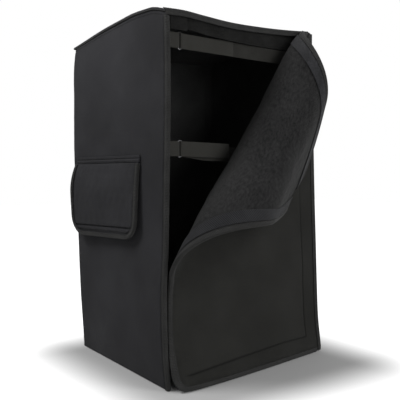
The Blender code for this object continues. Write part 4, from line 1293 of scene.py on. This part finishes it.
class COVER_OT_panels(Operator):
    """Make the side, back and top panels."""

    bl_idname = "cover.panels"
    bl_label = "Panels"

    def execute(self, context):
        settings = context.scene.cover_cloth
        materials = shop["materials"]
        # the inner faces take the lining, whose paler felt is painted light for the shaded inside
        faces = [materials["side_cloth"], materials["lining"]]
        grids = {
            "left_side": (side_grid(FRONT_LEFT, BACK_LEFT, BACK_RIGHT, 0.0, 0.0), -1),
            "right_side": (side_grid(FRONT_RIGHT, BACK_RIGHT, BACK_LEFT, 1.0, CLOTH + SEAM_GAP), 1),
            "back": (back_grid(), -1),
            "top": (top_grid(), 1),
        }
        for name, (grid, outward) in grids.items():
            seed = SEEDS[name]
            flat = lengths(grid)
            wide, high = flat[0, -1, 0], flat[-1, 0, 1]
            grid = self.uneven(grid, flat, wide, high, outward, seed, settings)
            relief = self.seam_relief(name, wide, high, seed, settings)
            mesh = cloth_mesh(name + "_cloth", grid, CLOTH, outward, flat, relief, self.felt_relief(seed))
            piece = add_piece(name + "_cloth", mesh, faces, [name])
            shop[name] = grid
            self.topstitch(name, grid, outward)
        return {"FINISHED"}

    def uneven(self, grid, flat, wide, high, outward, seed, settings):
        """Soft swells inside the panel, none where it meets its neighbours."""
        u, v = flat[..., 0], flat[..., 1]
        inside = np.clip(np.minimum(np.minimum(u, wide - u), np.minimum(v, high - v)) / SWELL_EDGE, 0, 1)
        swell = waves(u, v, seed, PANEL_WAVES) * settings.swell * inside**1.5
        return grid + normals_of(grid) * outward * swell[..., None]

    def seam_relief(self, name, wide, high, seed, settings):
        """Troughs along the topstitching, gathers beside it, and a draw-in just under the top."""
        front = BESIDE if name == "left_side" else TOPSTITCH

        def relief(u, v):
            sides = np.minimum(u - front, wide - u - TOPSTITCH) if name != "back" else wide - u + 1
            ends = high - v - TOPSTITCH if name != "top" else np.minimum(v, high - v) - TOPSTITCH
            seam = np.minimum(sides, ends)
            gathers = gathered(seam, u, v, settings.pucker, GATHER_REACH, GATHER_LENGTH, seed + 2)
            under = groove(high - v - SEAM_TUCK, *UNDER_TOP) if name != "top" else 0.0
            return groove(seam, *PANEL_SEAM) + gathers + under
        return relief

    def felt_relief(self, seed):
        """The uneven felt inside."""
        def lining(u, v):
            return waves(u, v, seed + 3, PANEL_FELT)
        return lining

    def topstitch(self, name, grid, outward):
        """Stitches under the top edge, beside the front binding and on the back corner's tail."""
        if name == "top":
            return
        lifted = grid + normals_of(grid) * outward * (CLOTH / 2 - SEAM_SINK)
        sew(line_in(lifted, TOPSTITCH + SEAM_TUCK, axis=0, far=True)[6:-6])
        if name != "back":
            sew(line_in(lifted, TOPSTITCH, far=True)[2:-6])
        if name == "left_side":
            sew(line_in(lifted, BESIDE)[2:-8])


CORNER_LINES = 16                       # lines of the flap's mesh over a rounded corner
FLAP_COLUMN, FLAP_ROW = 0.0042, 0.0034  # steps between its columns and between its rows
HEM_ROW = 0.002                         # and between the rows at the hem
FINE_STEP = 0.0012                      # along its creases the lines are this close together:
FINE_ROWS = (0.012, 0.052)              # between these heights above the hem
FINE_BEFORE, FINE_WIDE = 0.014, 0.026   # and in this strip, from before the upright crease on
SEWN_COLUMNS = 9                        # beyond that strip, up to the sewn edge


class COVER_OT_front_flap(Operator):
    """Make the front flap, peeled open and rolled over."""

    bl_idname = "cover.front_flap"
    bl_label = "Front flap"

    def execute(self, context):
        settings = context.scene.cover_cloth
        materials = shop["materials"]
        flap = BoundCloth(flap_point, FLAP_WIDTH, FLAP_HEIGHT, BAND, SQUARE_LOW, SQUARE_HIGH)
        crease, (hem, above) = CREASE_IN - FINE_BEFORE, FINE_ROWS
        columns = np.concatenate([np.linspace(0, BAND, CORNER_LINES)[:-1],
                                  np.arange(BAND, crease, FLAP_COLUMN),
                                  np.arange(crease, crease + FINE_WIDE, FINE_STEP),
                                  np.linspace(crease + FINE_WIDE + 0.001, FLAP_WIDTH, SEWN_COLUMNS)])
        rows = np.concatenate([np.arange(0, hem, HEM_ROW), np.arange(hem, above, FINE_STEP),
                               np.arange(above, FLAP_HEIGHT - BAND - HEM_ROW, FLAP_ROW),
                               np.linspace(FLAP_HEIGHT - BAND, FLAP_HEIGHT, CORNER_LINES)])
        grid, flat = flap.grid(columns, rows)
        grid = self.uneven(grid, flat, settings)
        mesh = cloth_mesh("front_flap_cloth", grid, CLOTH, 1, flat, self.creases, self.pile)
        faces = [materials["front_cloth"], materials["felt"]]
        piece = add_piece("front_flap_cloth", mesh, faces, ["front_flap"])
        shop["flap"] = flap
        return {"FINISHED"}

    def uneven(self, grid, flat, settings):
        """Soft swells on the standing part and along the roll, none at its edges."""
        s, z = flat[..., 0], flat[..., 1]
        edge = np.minimum(np.minimum(s, FLAP_WIDTH - s), np.minimum(z, FLAP_HEIGHT - z))
        inside = np.clip(edge / FLAP_SWELL_EDGE, 0, 1)
        swell = settings.swell * FLAP_SWELL * waves(s, z, SEEDS["flap"], FLAP_WAVES) * inside**1.5
        return grid + normals_of(grid) * swell[..., None]

    def creases(self, s, z):
        """The padding inside ends along an L: upright near the sewn edge, and level above the hem."""
        line = PAD_HEM + PAD_RISE * np.clip(s / PAD_RUN, 0, 1) ** 0.8
        level = np.clip((s - PAD_START) / PAD_START_FADE, 0, 1)
        upright = np.clip((PAD_TOP - z) / PAD_TOP_FADE, 0, 1)
        below = level * ramp((line - z) / PAD_END)
        beside = upright * ramp((s - CREASE_IN) / PAD_END)
        drop = -PAD_DROP * np.maximum(below, beside)
        first = groove(z - line, *PAD_LOW) * level * ramp((CREASE_IN - s) / PAD_END)
        second = groove(s - CREASE_IN, *PAD_SIDE) * upright * ramp((z - line) / PAD_END)
        edge = np.minimum(s, z) - BINDING - 0.002
        gathers = gathered(edge, s, z, *FLAP_GATHERS, SEEDS["flap"] + 4)
        return drop + first + second + gathers + groove(edge, *FLAP_EDGE)

    def pile(self, s, z):
        """The uneven felt inside, and the seam beside the fastening tapes."""
        seam = groove(np.minimum(s, FLAP_HEIGHT - z) - BAND - 0.001, *TAPE_SEAM)
        return waves(s, z, SEEDS["flap"] + 6, FLAP_FELT) + seam


def add_binding(name, tape, outward):
    """A tape of ribbed binding from its mid surface."""
    flat = lengths(tape)
    mesh = cloth_mesh(name + "_tape", tape, TAPE, outward, flat)
    binding = shop["materials"]["binding"]
    piece = add_piece(name + "_tape", mesh, [binding, binding], [name])


def fold_over(name, lines, sewn=(1, -1)):
    """A binding folded over an edge, with its stitches on one leg or both."""
    add_binding(name, folded_tape(*lines), -1)
    sew(*(tape_stitches(*lines, side) for side in sewn))


def ring_binding(bound, half, start, step):
    """The two lines of a bound edge and their normals, ready for a folded tape."""
    edge, edge_normal = bound.ring(0.0, step, start)
    leg, leg_normal = bound.ring(BINDING, step, start)
    return edge, leg, edge_normal, leg_normal, half


SIDE_BINDING_TOP = 0.6385       # the left side's binding ends here, under the top
TOP_BINDING_SHARE = 0.955       # share of its edge that the top's binding covers
TOP_LINES = (1.0, 0.92, 0.80, 0.74, 0.60, 0.35, 0.12)   # lines on the top, in shares of its leg
TOP_SEAM = 0.77                 # place of the stitches between those lines
TOP_NOSE = 0.0006               # it turns over the edge with a bevel of this size
TOP_FALL = ((0.0, 0.0), (0.002, 0.0005), (0.0045, 0.0003), (0.0058, -0.0001), (0.0070, 0.0004),
            (0.0086, 0.0004), (0.0096, 0.0))    # how far down and how far ahead, at each line
TOP_FALL_SEAM = 0.0058          # its stitches run this far down the front
RIGHT_LINES = (0.95, 0.88, 0.76, 0.70, 0.60, 0.35, 0.1)     # of the right binding, on the flap
RIGHT_SEAM = 0.74               # place of the stitches there
RIGHT_NOSE = 0.0008             # size of its bevel at the corner
RIGHT_REACH = (0.003, 0.006, 0.0088, 0.0100, 0.0112, 0.0125, LEG + CLOTH)   # lines on the side
RIGHT_REACH_SEAM = 0.0106       # and the stitches there
LAID_DIP = 0.0004               # depth of the seam in a tape that is laid over an edge


def seam_dip(place, seam, width):
    """How far a laid tape is drawn in at a place near its seam."""
    return LAID_DIP * math.exp(-((place - seam) / width) ** 2)


class COVER_OT_bindings(Operator):
    """Fold ribbed tape over the free edges and lay it along the corner seams."""

    bl_idname = "cover.bindings"
    bl_label = "Bindings"

    def execute(self, context):
        fold_over("front_flap_binding", ring_binding(shop["flap"], CLOTH / 2, FLAP_START, 0.0030))
        self.left_side()
        self.top_front()
        self.right_seam()
        return {"FINISHED"}

    def left_side(self):
        """A tape folded over the free front edge of the left side."""
        grid = shop["left_side"]
        normal = -normals_of(grid)
        keep = grid[:, 0, 2] < SIDE_BINDING_TOP
        lines = (grid[:, 0], line_in(grid, BINDING), normal[:, 0], normal[:, 6])
        lines = [line[keep] for line in lines]
        fold_over("left_side_binding", (*lines, CLOTH / 2))

    def top_front(self):
        """An L of tape over the top's front edge, with a second ridge where it is turned under."""
        grid = shop["top"]
        keep = np.linspace(0, 1, grid.shape[1]) < TOP_BINDING_SHARE
        normal = normals_of(grid)
        edge, leg = grid[0][keep], line_in(grid, BINDING, axis=0)[keep]
        edge_normal, leg_normal = normal[0][keep], normal[6][keep]
        out = unit(edge - leg)
        rise = CLOTH / 2 + GAP + TAPE / 2
        lines = []
        for t in TOP_LINES:
            height = rise - seam_dip(t, TOP_SEAM, 0.08)
            lines.append(edge * (1 - t) + leg * t + unit(edge_normal * (1 - t) + leg_normal * t) * height)
        lines.append(edge + edge_normal * rise + out * TOP_NOSE)
        front = edge + out * (GAP + TAPE / 2) + edge_normal * (rise - TOP_NOSE)
        fall = np.array([0.0, 0.0, -1.0])
        for drop, ahead in TOP_FALL:
            lines.append(front + fall * drop + np.array([0.0, -ahead, 0.0]))
        add_binding("top_binding", np.stack(lines, axis=1), 1)
        t = TOP_SEAM
        sew(front + fall * TOP_FALL_SEAM + np.array([0.0, -TAPE / 2 - 0.0001, 0.0]),
            edge * (1 - t) + leg * t + edge_normal * (CLOTH / 2 + GAP + TAPE))

    def right_seam(self):
        """A tape over the seam between the flap and the right side."""
        z = np.linspace(0.0, FLAP_HEIGHT - 0.002, 160)
        s = np.full_like(z, FLAP_WIDTH)
        edge = flap_point(s, z)
        near = flap_point(s - BINDING, z)
        over = flap_point(s, z) - flap_point(s - HAIR, z)
        up = flap_point(s, z + HAIR) - flap_point(s, z - HAIR)
        normal = unit(np.cross(over, up))
        rise = CLOTH / 2 + GAP + TAPE / 2
        side = np.array([1.0, 0.0, 0.0])
        back = corner_at(BACK_RIGHT, edge[:, 2]) - corner_at(FRONT_RIGHT, edge[:, 2])
        run = unit(np.column_stack([back, np.zeros(len(z))]))
        lines = [edge * (1 - t) + near * t + normal * (rise - seam_dip(t, RIGHT_SEAM, 0.08))
                 for t in RIGHT_LINES]
        corner = edge + normal * rise + side * (SEAM_GAP * 2 + TAPE / 2)
        lines += [corner - side * RIGHT_NOSE, corner + run * RIGHT_NOSE]
        lines += [corner + run * reach - side * seam_dip(reach, RIGHT_REACH_SEAM, 0.001)
                  for reach in RIGHT_REACH]
        add_binding("right_seam_binding", np.stack(lines, axis=1), -1)
        t = RIGHT_SEAM
        lift = TAPE / 2 - THREAD_SINK / 2
        sew(edge * (1 - t) + near * t + normal * (rise + lift),
            corner + run * RIGHT_REACH_SEAM + side * lift)


TAPE_MARGIN = 0.0014            # between a fastening tape and the binding
TAPE_LINES = np.array([0.0, 0.03, 0.1, 0.3, 0.5, 0.7, 0.9, 0.97, 1.0])     # in shares of its width
BAND_LINES = (0.0, 0.02, 0.08, 0.2, 0.4, 0.6, 0.8, 0.95, 1.0)
THINNED = 0.8                   # share of their full thickness that the band and the header have


class COVER_OT_fastenings(Operator):
    """Make the hook and loop tapes inside the flap and the band under the top's front edge."""

    bl_idname = "cover.fastenings"
    bl_label = "Fastening tapes"

    def execute(self, context):
        flap = shop["flap"]
        insets = BINDING + TAPE_MARGIN + (BAND - BINDING - TAPE_MARGIN - 0.0015) * TAPE_LINES
        step = 0.0045
        across = max(3, int((FLAP_WIDTH - FLAP_START - BAND) / step))
        upright = max(3, int((FLAP_HEIGHT - 2 * BAND) / step))
        start = across + 2 * CORNER_STEPS
        lines = []
        for inset in insets:
            line, normal = flap.ring(inset, step, FLAP_START)
            lines.append(line - normal * (CLOTH / 2 + 2 * GAP + TAPE / 2))
        tape = np.stack(lines, axis=1)
        self.add("flap_side_tape", tape[start:start + upright], "hook_tape")
        self.add("flap_top_tape", tape[start + upright + 2 * CORNER_STEPS:], "loop_tape")
        self.band()
        return {"FINISHED"}

    def add(self, name, tape, finish):
        """A strip of tape, sewn on along both long edges."""
        flat = lengths(tape)
        mesh = cloth_mesh(name + "_strip", tape, TAPE, 1, flat)
        material = shop["materials"][finish]
        piece = add_piece(name + "_strip", mesh, [material, material], [name])
        face = tape + normals_of(tape) * (TAPE / 2)
        sew(face[:, 1], face[:, -2])

    def band(self):
        """A short strip and a long one under the top's front edge; the long one lies behind."""
        front = shop["top"][0]
        inset = CLOTH + TAPE + 3 * GAP + SIDE_DENT
        low_x = front[0, 0] + inset
        high_x = front[-1, 0] - inset - TOP_OVERHANG - 0.001
        for part, start, end in (("left", low_x, low_x + BAND_LEFT_END),
                                 ("right", low_x + BAND_RIGHT_START, high_x)):
            x = np.linspace(start, end, 12 if part == "left" else 90)
            share = (x - front[0, 0]) / (front[-1, 0] - front[0, 0])
            y = np.interp(x, front[:, 0], front[:, 1]) + BAND_THICK / 2 + BAND_SETBACK * share
            high = np.interp(x, front[:, 0], front[:, 2]) - CLOTH / 2 - GAP * 2
            low = BAND_LOW - BAND_FALL * share + BAND_WAVE * np.sin(3 * math.pi * share)
            if part == "right":
                low = low + BAND_CUT * np.clip((start + 0.05 - x) / 0.05, 0, 1)
                y = y + (BAND_THICK + GAP) * np.clip((start + 0.03 - x) / 0.02, 0, 1)
            rows = []
            for t in BAND_LINES:
                bow = BAND_BOW * np.sin(math.pi * t) * np.sin(9 * share)
                rows.append(np.column_stack([x, y + bow, low * (1 - t) + high * t]))
            strip = np.stack(rows)
            material = shop["materials"]["band_tape"]
            mesh = cloth_mesh("fastening_band_" + part, strip, BAND_THICK * THINNED, 1)
            nodes = ["top_fastening_band"] if part == "right" else []
            piece = add_piece("fastening_band_" + part, mesh, [material, material], nodes)


HEADER_LINES = (0.0, 0.06, 0.14, 0.22, 0.30, 0.38, 0.44, 0.49, 0.55, 0.61, 0.67, 0.76, 0.88, 1.0)
HEADER_RELIEF = 0.0013          # height of its ridge and depth of its groove,
HEADER_RIDGE = (0.30, 0.13)     # and their places and widths, in shares of its height
HEADER_GROOVE = (0.55, 0.07)
ROLL_BELOW, ROLL_SIZE = 0.0040, (0.0028, 0.0012)    # the flap swells this far below its crease
LIFT_ABOVE, LIFT_SIZE = 0.0065, (0.004, 0.0004)     # and a little this far above it
SEAM_BELOW = 0.0090             # its seam runs this far below the crease


class COVER_OT_handle_flap(Operator):
    """Make the handle flap, its binding and its header."""

    bl_idname = "cover.handle_flap"
    bl_label = "Handle flap"

    def execute(self, context):
        width, height = HANDLE_HIGH - HANDLE_LOW, HANDLE_BACK - HANDLE_FRONT
        turn = HANDLE_CORNER
        bound = BoundCloth(handle_point, width, height, turn, HANDLE_SQUARE, HANDLE_SQUARE)
        columns = np.concatenate([np.linspace(0, turn, 37), np.linspace(turn, width, 40)[1:]])
        rows = np.concatenate([np.linspace(0, turn, 37), np.linspace(turn, height - turn, 60)[1:-1],
                               np.linspace(height - turn, height, 37)])
        grid, flat = bound.grid(columns, rows)
        swell = waves(flat[..., 0], flat[..., 1], SEEDS["handle"], HANDLE_WAVES)
        inside = np.clip(np.minimum(flat[..., 0], width - flat[..., 0]) / 0.03, 0, 1)
        grid = grid + normals_of(grid) * (swell * inside)[..., None]
        cloths = [shop["materials"]["side_cloth"], shop["materials"]["felt"]]
        mesh = cloth_mesh("handle_flap_cloth", grid, HANDLE_CLOTH, -1, flat, self.fold(bound))
        piece = add_piece("handle_flap_cloth", mesh, cloths, ["handle_flap"])
        lines = ring_binding(bound, HANDLE_CLOTH / 2, HANDLE_CLOTH / 2, 0.0035)
        fold_over("handle_flap_binding", lines, sewn=(-1,))
        self.header()
        return {"FINISHED"}

    def fold(self, bound):
        """The fold across the lower part, over the fastening patch behind it, and its seam."""
        def relief(s, t):
            up = bound.eased(s, t)[0] - HANDLE_FOLD
            crease = groove(up, *HANDLE_CREASE)
            roll = ridge(up + ROLL_BELOW, *ROLL_SIZE)
            above = ridge(up - LIFT_ABOVE, *LIFT_SIZE)
            seam = groove(up + SEAM_BELOW, *HANDLE_SEAM)
            ends = np.minimum(t, bound.height - t)
            beside = groove(np.minimum(s, ends) - BINDING - TAPE_MARGIN, *HANDLE_EDGE)
            wrinkles = waves(s, t, SEEDS["handle"] + 2, HANDLE_WRINKLES)
            return crease + roll + above + seam + beside + wrinkles
        return relief

    def header(self):
        """The strip that carries the handle flap, folded up and stitched along a groove."""
        y = np.linspace(HANDLE_BACK, HANDLE_FRONT, 70)
        rows = []
        low = HANDLE_HIGH + GAP * 2
        for t in HEADER_LINES:
            z = np.full_like(y, low + t * HEADER_HEIGHT)
            x = side_face(y, z) - HEADER_THICK / 2 - GAP - 0.0003
            rows.append(np.column_stack([x, y, z]))
        grid = np.stack(rows)

        def relief(_, v):
            share = v / HEADER_HEIGHT
            (high, wide), (low, narrow) = HEADER_RIDGE, HEADER_GROOVE
            return ridge(share - high, wide, HEADER_RELIEF) + groove(share - low, narrow, HEADER_RELIEF)

        cloth = shop["materials"]["side_cloth"]
        mesh = cloth_mesh("handle_flap_header_cloth", grid, HEADER_THICK * THINNED, 1, relief=relief)
        piece = add_piece("handle_flap_header_cloth", mesh, [cloth, cloth], ["handle_flap_header"])
        seam = HEADER_LINES.index(0.44)
        sew(grid[seam] + normals_of(grid)[seam] * (HEADER_THICK * THINNED / 2))


WEB_LINES = np.array([-1.0, -0.97, -0.9, -0.6, -0.3, 0.0, 0.3, 0.6, 0.9, 0.97, 1.0])   # of half its width
BAR_REACH = BAR_RADIUS + GAP + TAPE / 2     # from the middle of a bar to the middle of the webbing
BAR_ANGLES = range(20, 180, 20)             # where the webbing turns round a bar
BOX_HALF_WIDTH, BOX_HALF_HEIGHT = 0.0055, 0.0085    # of the box of stitches on a tab
BOX_PLACE = 0.0065                          # its middle is this far from the tab's sewn end
BOX_POWER = 0.45                            # 0 is a rectangle, 1 an ellipse


class COVER_OT_straps(Operator):
    """Make the webbing straps, their tabs and the wire sliders."""

    bl_idname = "cover.straps"
    bl_label = "Straps"

    def execute(self, context):
        for strap in STRAPS:
            self.strap(strap)
            self.tab(strap)
            self.slider(strap)
        return {"FINISHED"}

    def web(self, name, line, heights, outward, back="webbing"):
        """Webbing along a path in plan, with the height of its middle at each point."""
        x, y = np.array([p[0] for p in line]), np.array([p[1] for p in line])
        rows = []
        for t in WEB_LINES * WEBBING / 2:
            rows.append(np.column_stack([x, y, heights + t]))
        grid = np.stack(rows)
        flat = lengths(grid)
        mesh = cloth_mesh(name + "_webbing", grid, TAPE, outward, flat)
        # slot 0 takes the given finish; on a strap that is the darker copy, painted shade on its long layer
        faces = [shop["materials"][back], shop["materials"]["webbing"]]
        piece = add_piece(name + "_webbing", mesh, faces, [name])
        return grid

    def strap(self, strap):
        """A long layer from the right side, round the slider's far bar, and a short layer back over it."""
        bar_x = SLIDER_X + SLIDER_HALF_WIDTH
        right = corner_at(FRONT_RIGHT, np.array(strap.height))[0] - CLOTH - SEAM_GAP - 0.0012
        line = [(x, STRAP_Y, 1.0) for x in np.linspace(right, bar_x + WEB_SETTLE, 50)]
        line += [(x, STRAP_Y, 1.0) for x in np.linspace(bar_x + 0.010, bar_x, 4)]
        for angle in BAR_ANGLES:
            turn = math.radians(angle)
            line.append((bar_x - BAR_REACH * math.sin(turn),
                         STRAP_Y - BAR_REACH + BAR_REACH * math.cos(turn), 1 - angle / 180))
        front, lying = STRAP_Y - 2 * BAR_REACH, STRAP_Y - (TAPE + GAP)
        line.append((bar_x, front, 0.0))
        length = strap.short_end - bar_x
        for t in np.linspace(0.03, 1, 36):
            settle = min(1.0, t * length / WEB_SETTLE)
            flat_y = front * (1 - settle) + lying * settle
            line.append((bar_x + t * length, flat_y - strap.bow * math.sin(math.pi * t**0.8), 0.0))
        heights = []
        for x, _, drop in line:
            share = max(0.0, (x - bar_x) / (right - bar_x))
            fall = strap.hang * drop * min(1.0, share * 6)
            heights.append(strap.height + (strap.right_height - strap.height) * share - fall)
        # the long layer's front face gets painted shade
        self.web(strap.name + "_strap", line, np.array(heights), -1, "webbing_back")

    def tab(self, strap):
        """Webbing from the left side round the slider's near bar and back."""
        bar_x = SLIDER_X - SLIDER_HALF_WIDTH
        middle = STRAP_Y - BAR_REACH
        left = corner_at(FRONT_LEFT, np.array(strap.height))[0] + CLOTH + 2 * GAP
        line = [(x, middle + BAR_REACH) for x in np.linspace(left, bar_x, 8)]
        for angle in BAR_ANGLES:
            turn = math.radians(angle)
            line.append((bar_x + BAR_REACH * math.sin(turn), middle + BAR_REACH * math.cos(turn)))
        line += [(x, middle - BAR_REACH) for x in np.linspace(bar_x, left + TAPE + GAP, 8)]
        self.web(strap.name + "_tab", line, np.full(len(line), strap.height), 1)
        self.box_stitch(left + BOX_PLACE, middle - BAR_REACH - TAPE / 2, strap.height)

    def box_stitch(self, x, y, z):
        """A rounded box of stitches round a place on a tab."""
        turn = np.linspace(0, math.tau, 41)
        cos, sin = np.cos(turn), np.sin(turn)
        box_x = x + BOX_HALF_WIDTH * np.sign(cos) * np.abs(cos) ** BOX_POWER
        box_z = z + BOX_HALF_HEIGHT * np.sign(sin) * np.abs(sin) ** BOX_POWER
        sew(np.column_stack([box_x, np.full_like(turn, y), box_z]))

    def slider(self, strap):
        """Bent wire: a rounded rectangle swept by a round section."""
        y = STRAP_Y - BAR_RADIUS - GAP - TAPE / 2
        radius = SLIDER_CORNER
        path = []
        for sx, sz, start in ((1, 1, 0), (-1, 1, 90), (-1, -1, 180), (1, -1, 270)):
            x = SLIDER_X + sx * (SLIDER_HALF_WIDTH - radius)
            z = strap.height + sz * (SLIDER_HALF_HEIGHT - radius)
            path += [(x + radius * math.cos(angle), y, z + radius * math.sin(angle))
                     for angle in np.radians(np.linspace(start, start + 90, 8))]
        path = np.array(path)
        along = unit(np.roll(path, -1, axis=0) - np.roll(path, 1, axis=0))
        side = np.cross(along, np.array([0.0, 1.0, 0.0]))
        section = np.radians(np.linspace(0, 360, 13)[:-1])
        rings = [path + (side * math.cos(a) + np.array([0.0, math.sin(a), 0.0])) * BAR_RADIUS
                 for a in section]
        grid = np.stack(rings, axis=1)
        count, around = grid.shape[:2]
        faces = []
        for i in range(count):
            for j in range(around):
                k, m = (i + 1) % count, (j + 1) % around
                faces.append((i * around + j, i * around + m, k * around + m, k * around + j))
        mesh = bpy.data.meshes.new(strap.name + "_slider_wire")
        mesh.from_pydata((grid.reshape(-1, 3) + SHIFT).tolist(), [], faces)
        mesh.shade_smooth()
        name = strap.name + "_slider"
        add_piece(name + "_wire", mesh, [shop["materials"]["metal"]], [name])


class COVER_OT_stitching(Operator):
    """Sew every stitch line that the other pieces left."""

    bl_idname = "cover.stitching"
    bl_label = "Stitching"

    def execute(self, context):
        tree = stitch_tree(shop["materials"]["thread"])
        add_stitches("seam_stitches", shop["stitches"], tree, context.scene.cover_thread)
        return {"FINISHED"}


class COVER_PT_panel(Panel):
    """Sizes and colours of the cover, with a button for each group of pieces."""

    bl_label = "Padded cover"
    bl_space_type = "VIEW_3D"
    bl_region_type = "UI"
    bl_category = "Cover"

    def draw(self, context):
        for group in (context.scene.cover_cloth, context.scene.cover_tape, context.scene.cover_thread,
                      context.scene.cover_stage):
            box = self.layout.box()
            for name in group.__annotations__:
                box.prop(group, name)
        for operator in OPERATORS:
            self.layout.operator(operator.bl_idname)


SETTINGS = {"cover_cloth": ClothSettings, "cover_tape": TapeSettings, "cover_thread": ThreadSettings,
            "cover_stage": StageSettings}
OPERATORS = (COVER_OT_stage, COVER_OT_panels, COVER_OT_front_flap, COVER_OT_bindings,
             COVER_OT_fastenings, COVER_OT_handle_flap, COVER_OT_straps, COVER_OT_stitching)


def register():
    """Make the settings, the operators and the panel known."""
    for group in SETTINGS.values():
        bpy.utils.register_class(group)
    for name, group in SETTINGS.items():
        setattr(bpy.types.Scene, name, PointerProperty(type=group))
    for operator in OPERATORS:
        bpy.utils.register_class(operator)
    bpy.utils.register_class(COVER_PT_panel)


def unregister():
    """Take them away again."""
    bpy.utils.unregister_class(COVER_PT_panel)
    for operator in reversed(OPERATORS):
        bpy.utils.unregister_class(operator)
    for name, group in SETTINGS.items():
        delattr(bpy.types.Scene, name)
        bpy.utils.unregister_class(group)


def main():
    """Build the cover piece by piece."""
    register()
    for operator in OPERATORS:
        category, name = operator.bl_idname.split(".")
        getattr(getattr(bpy.ops, category), name)()


if __name__ == "__main__":
    main()
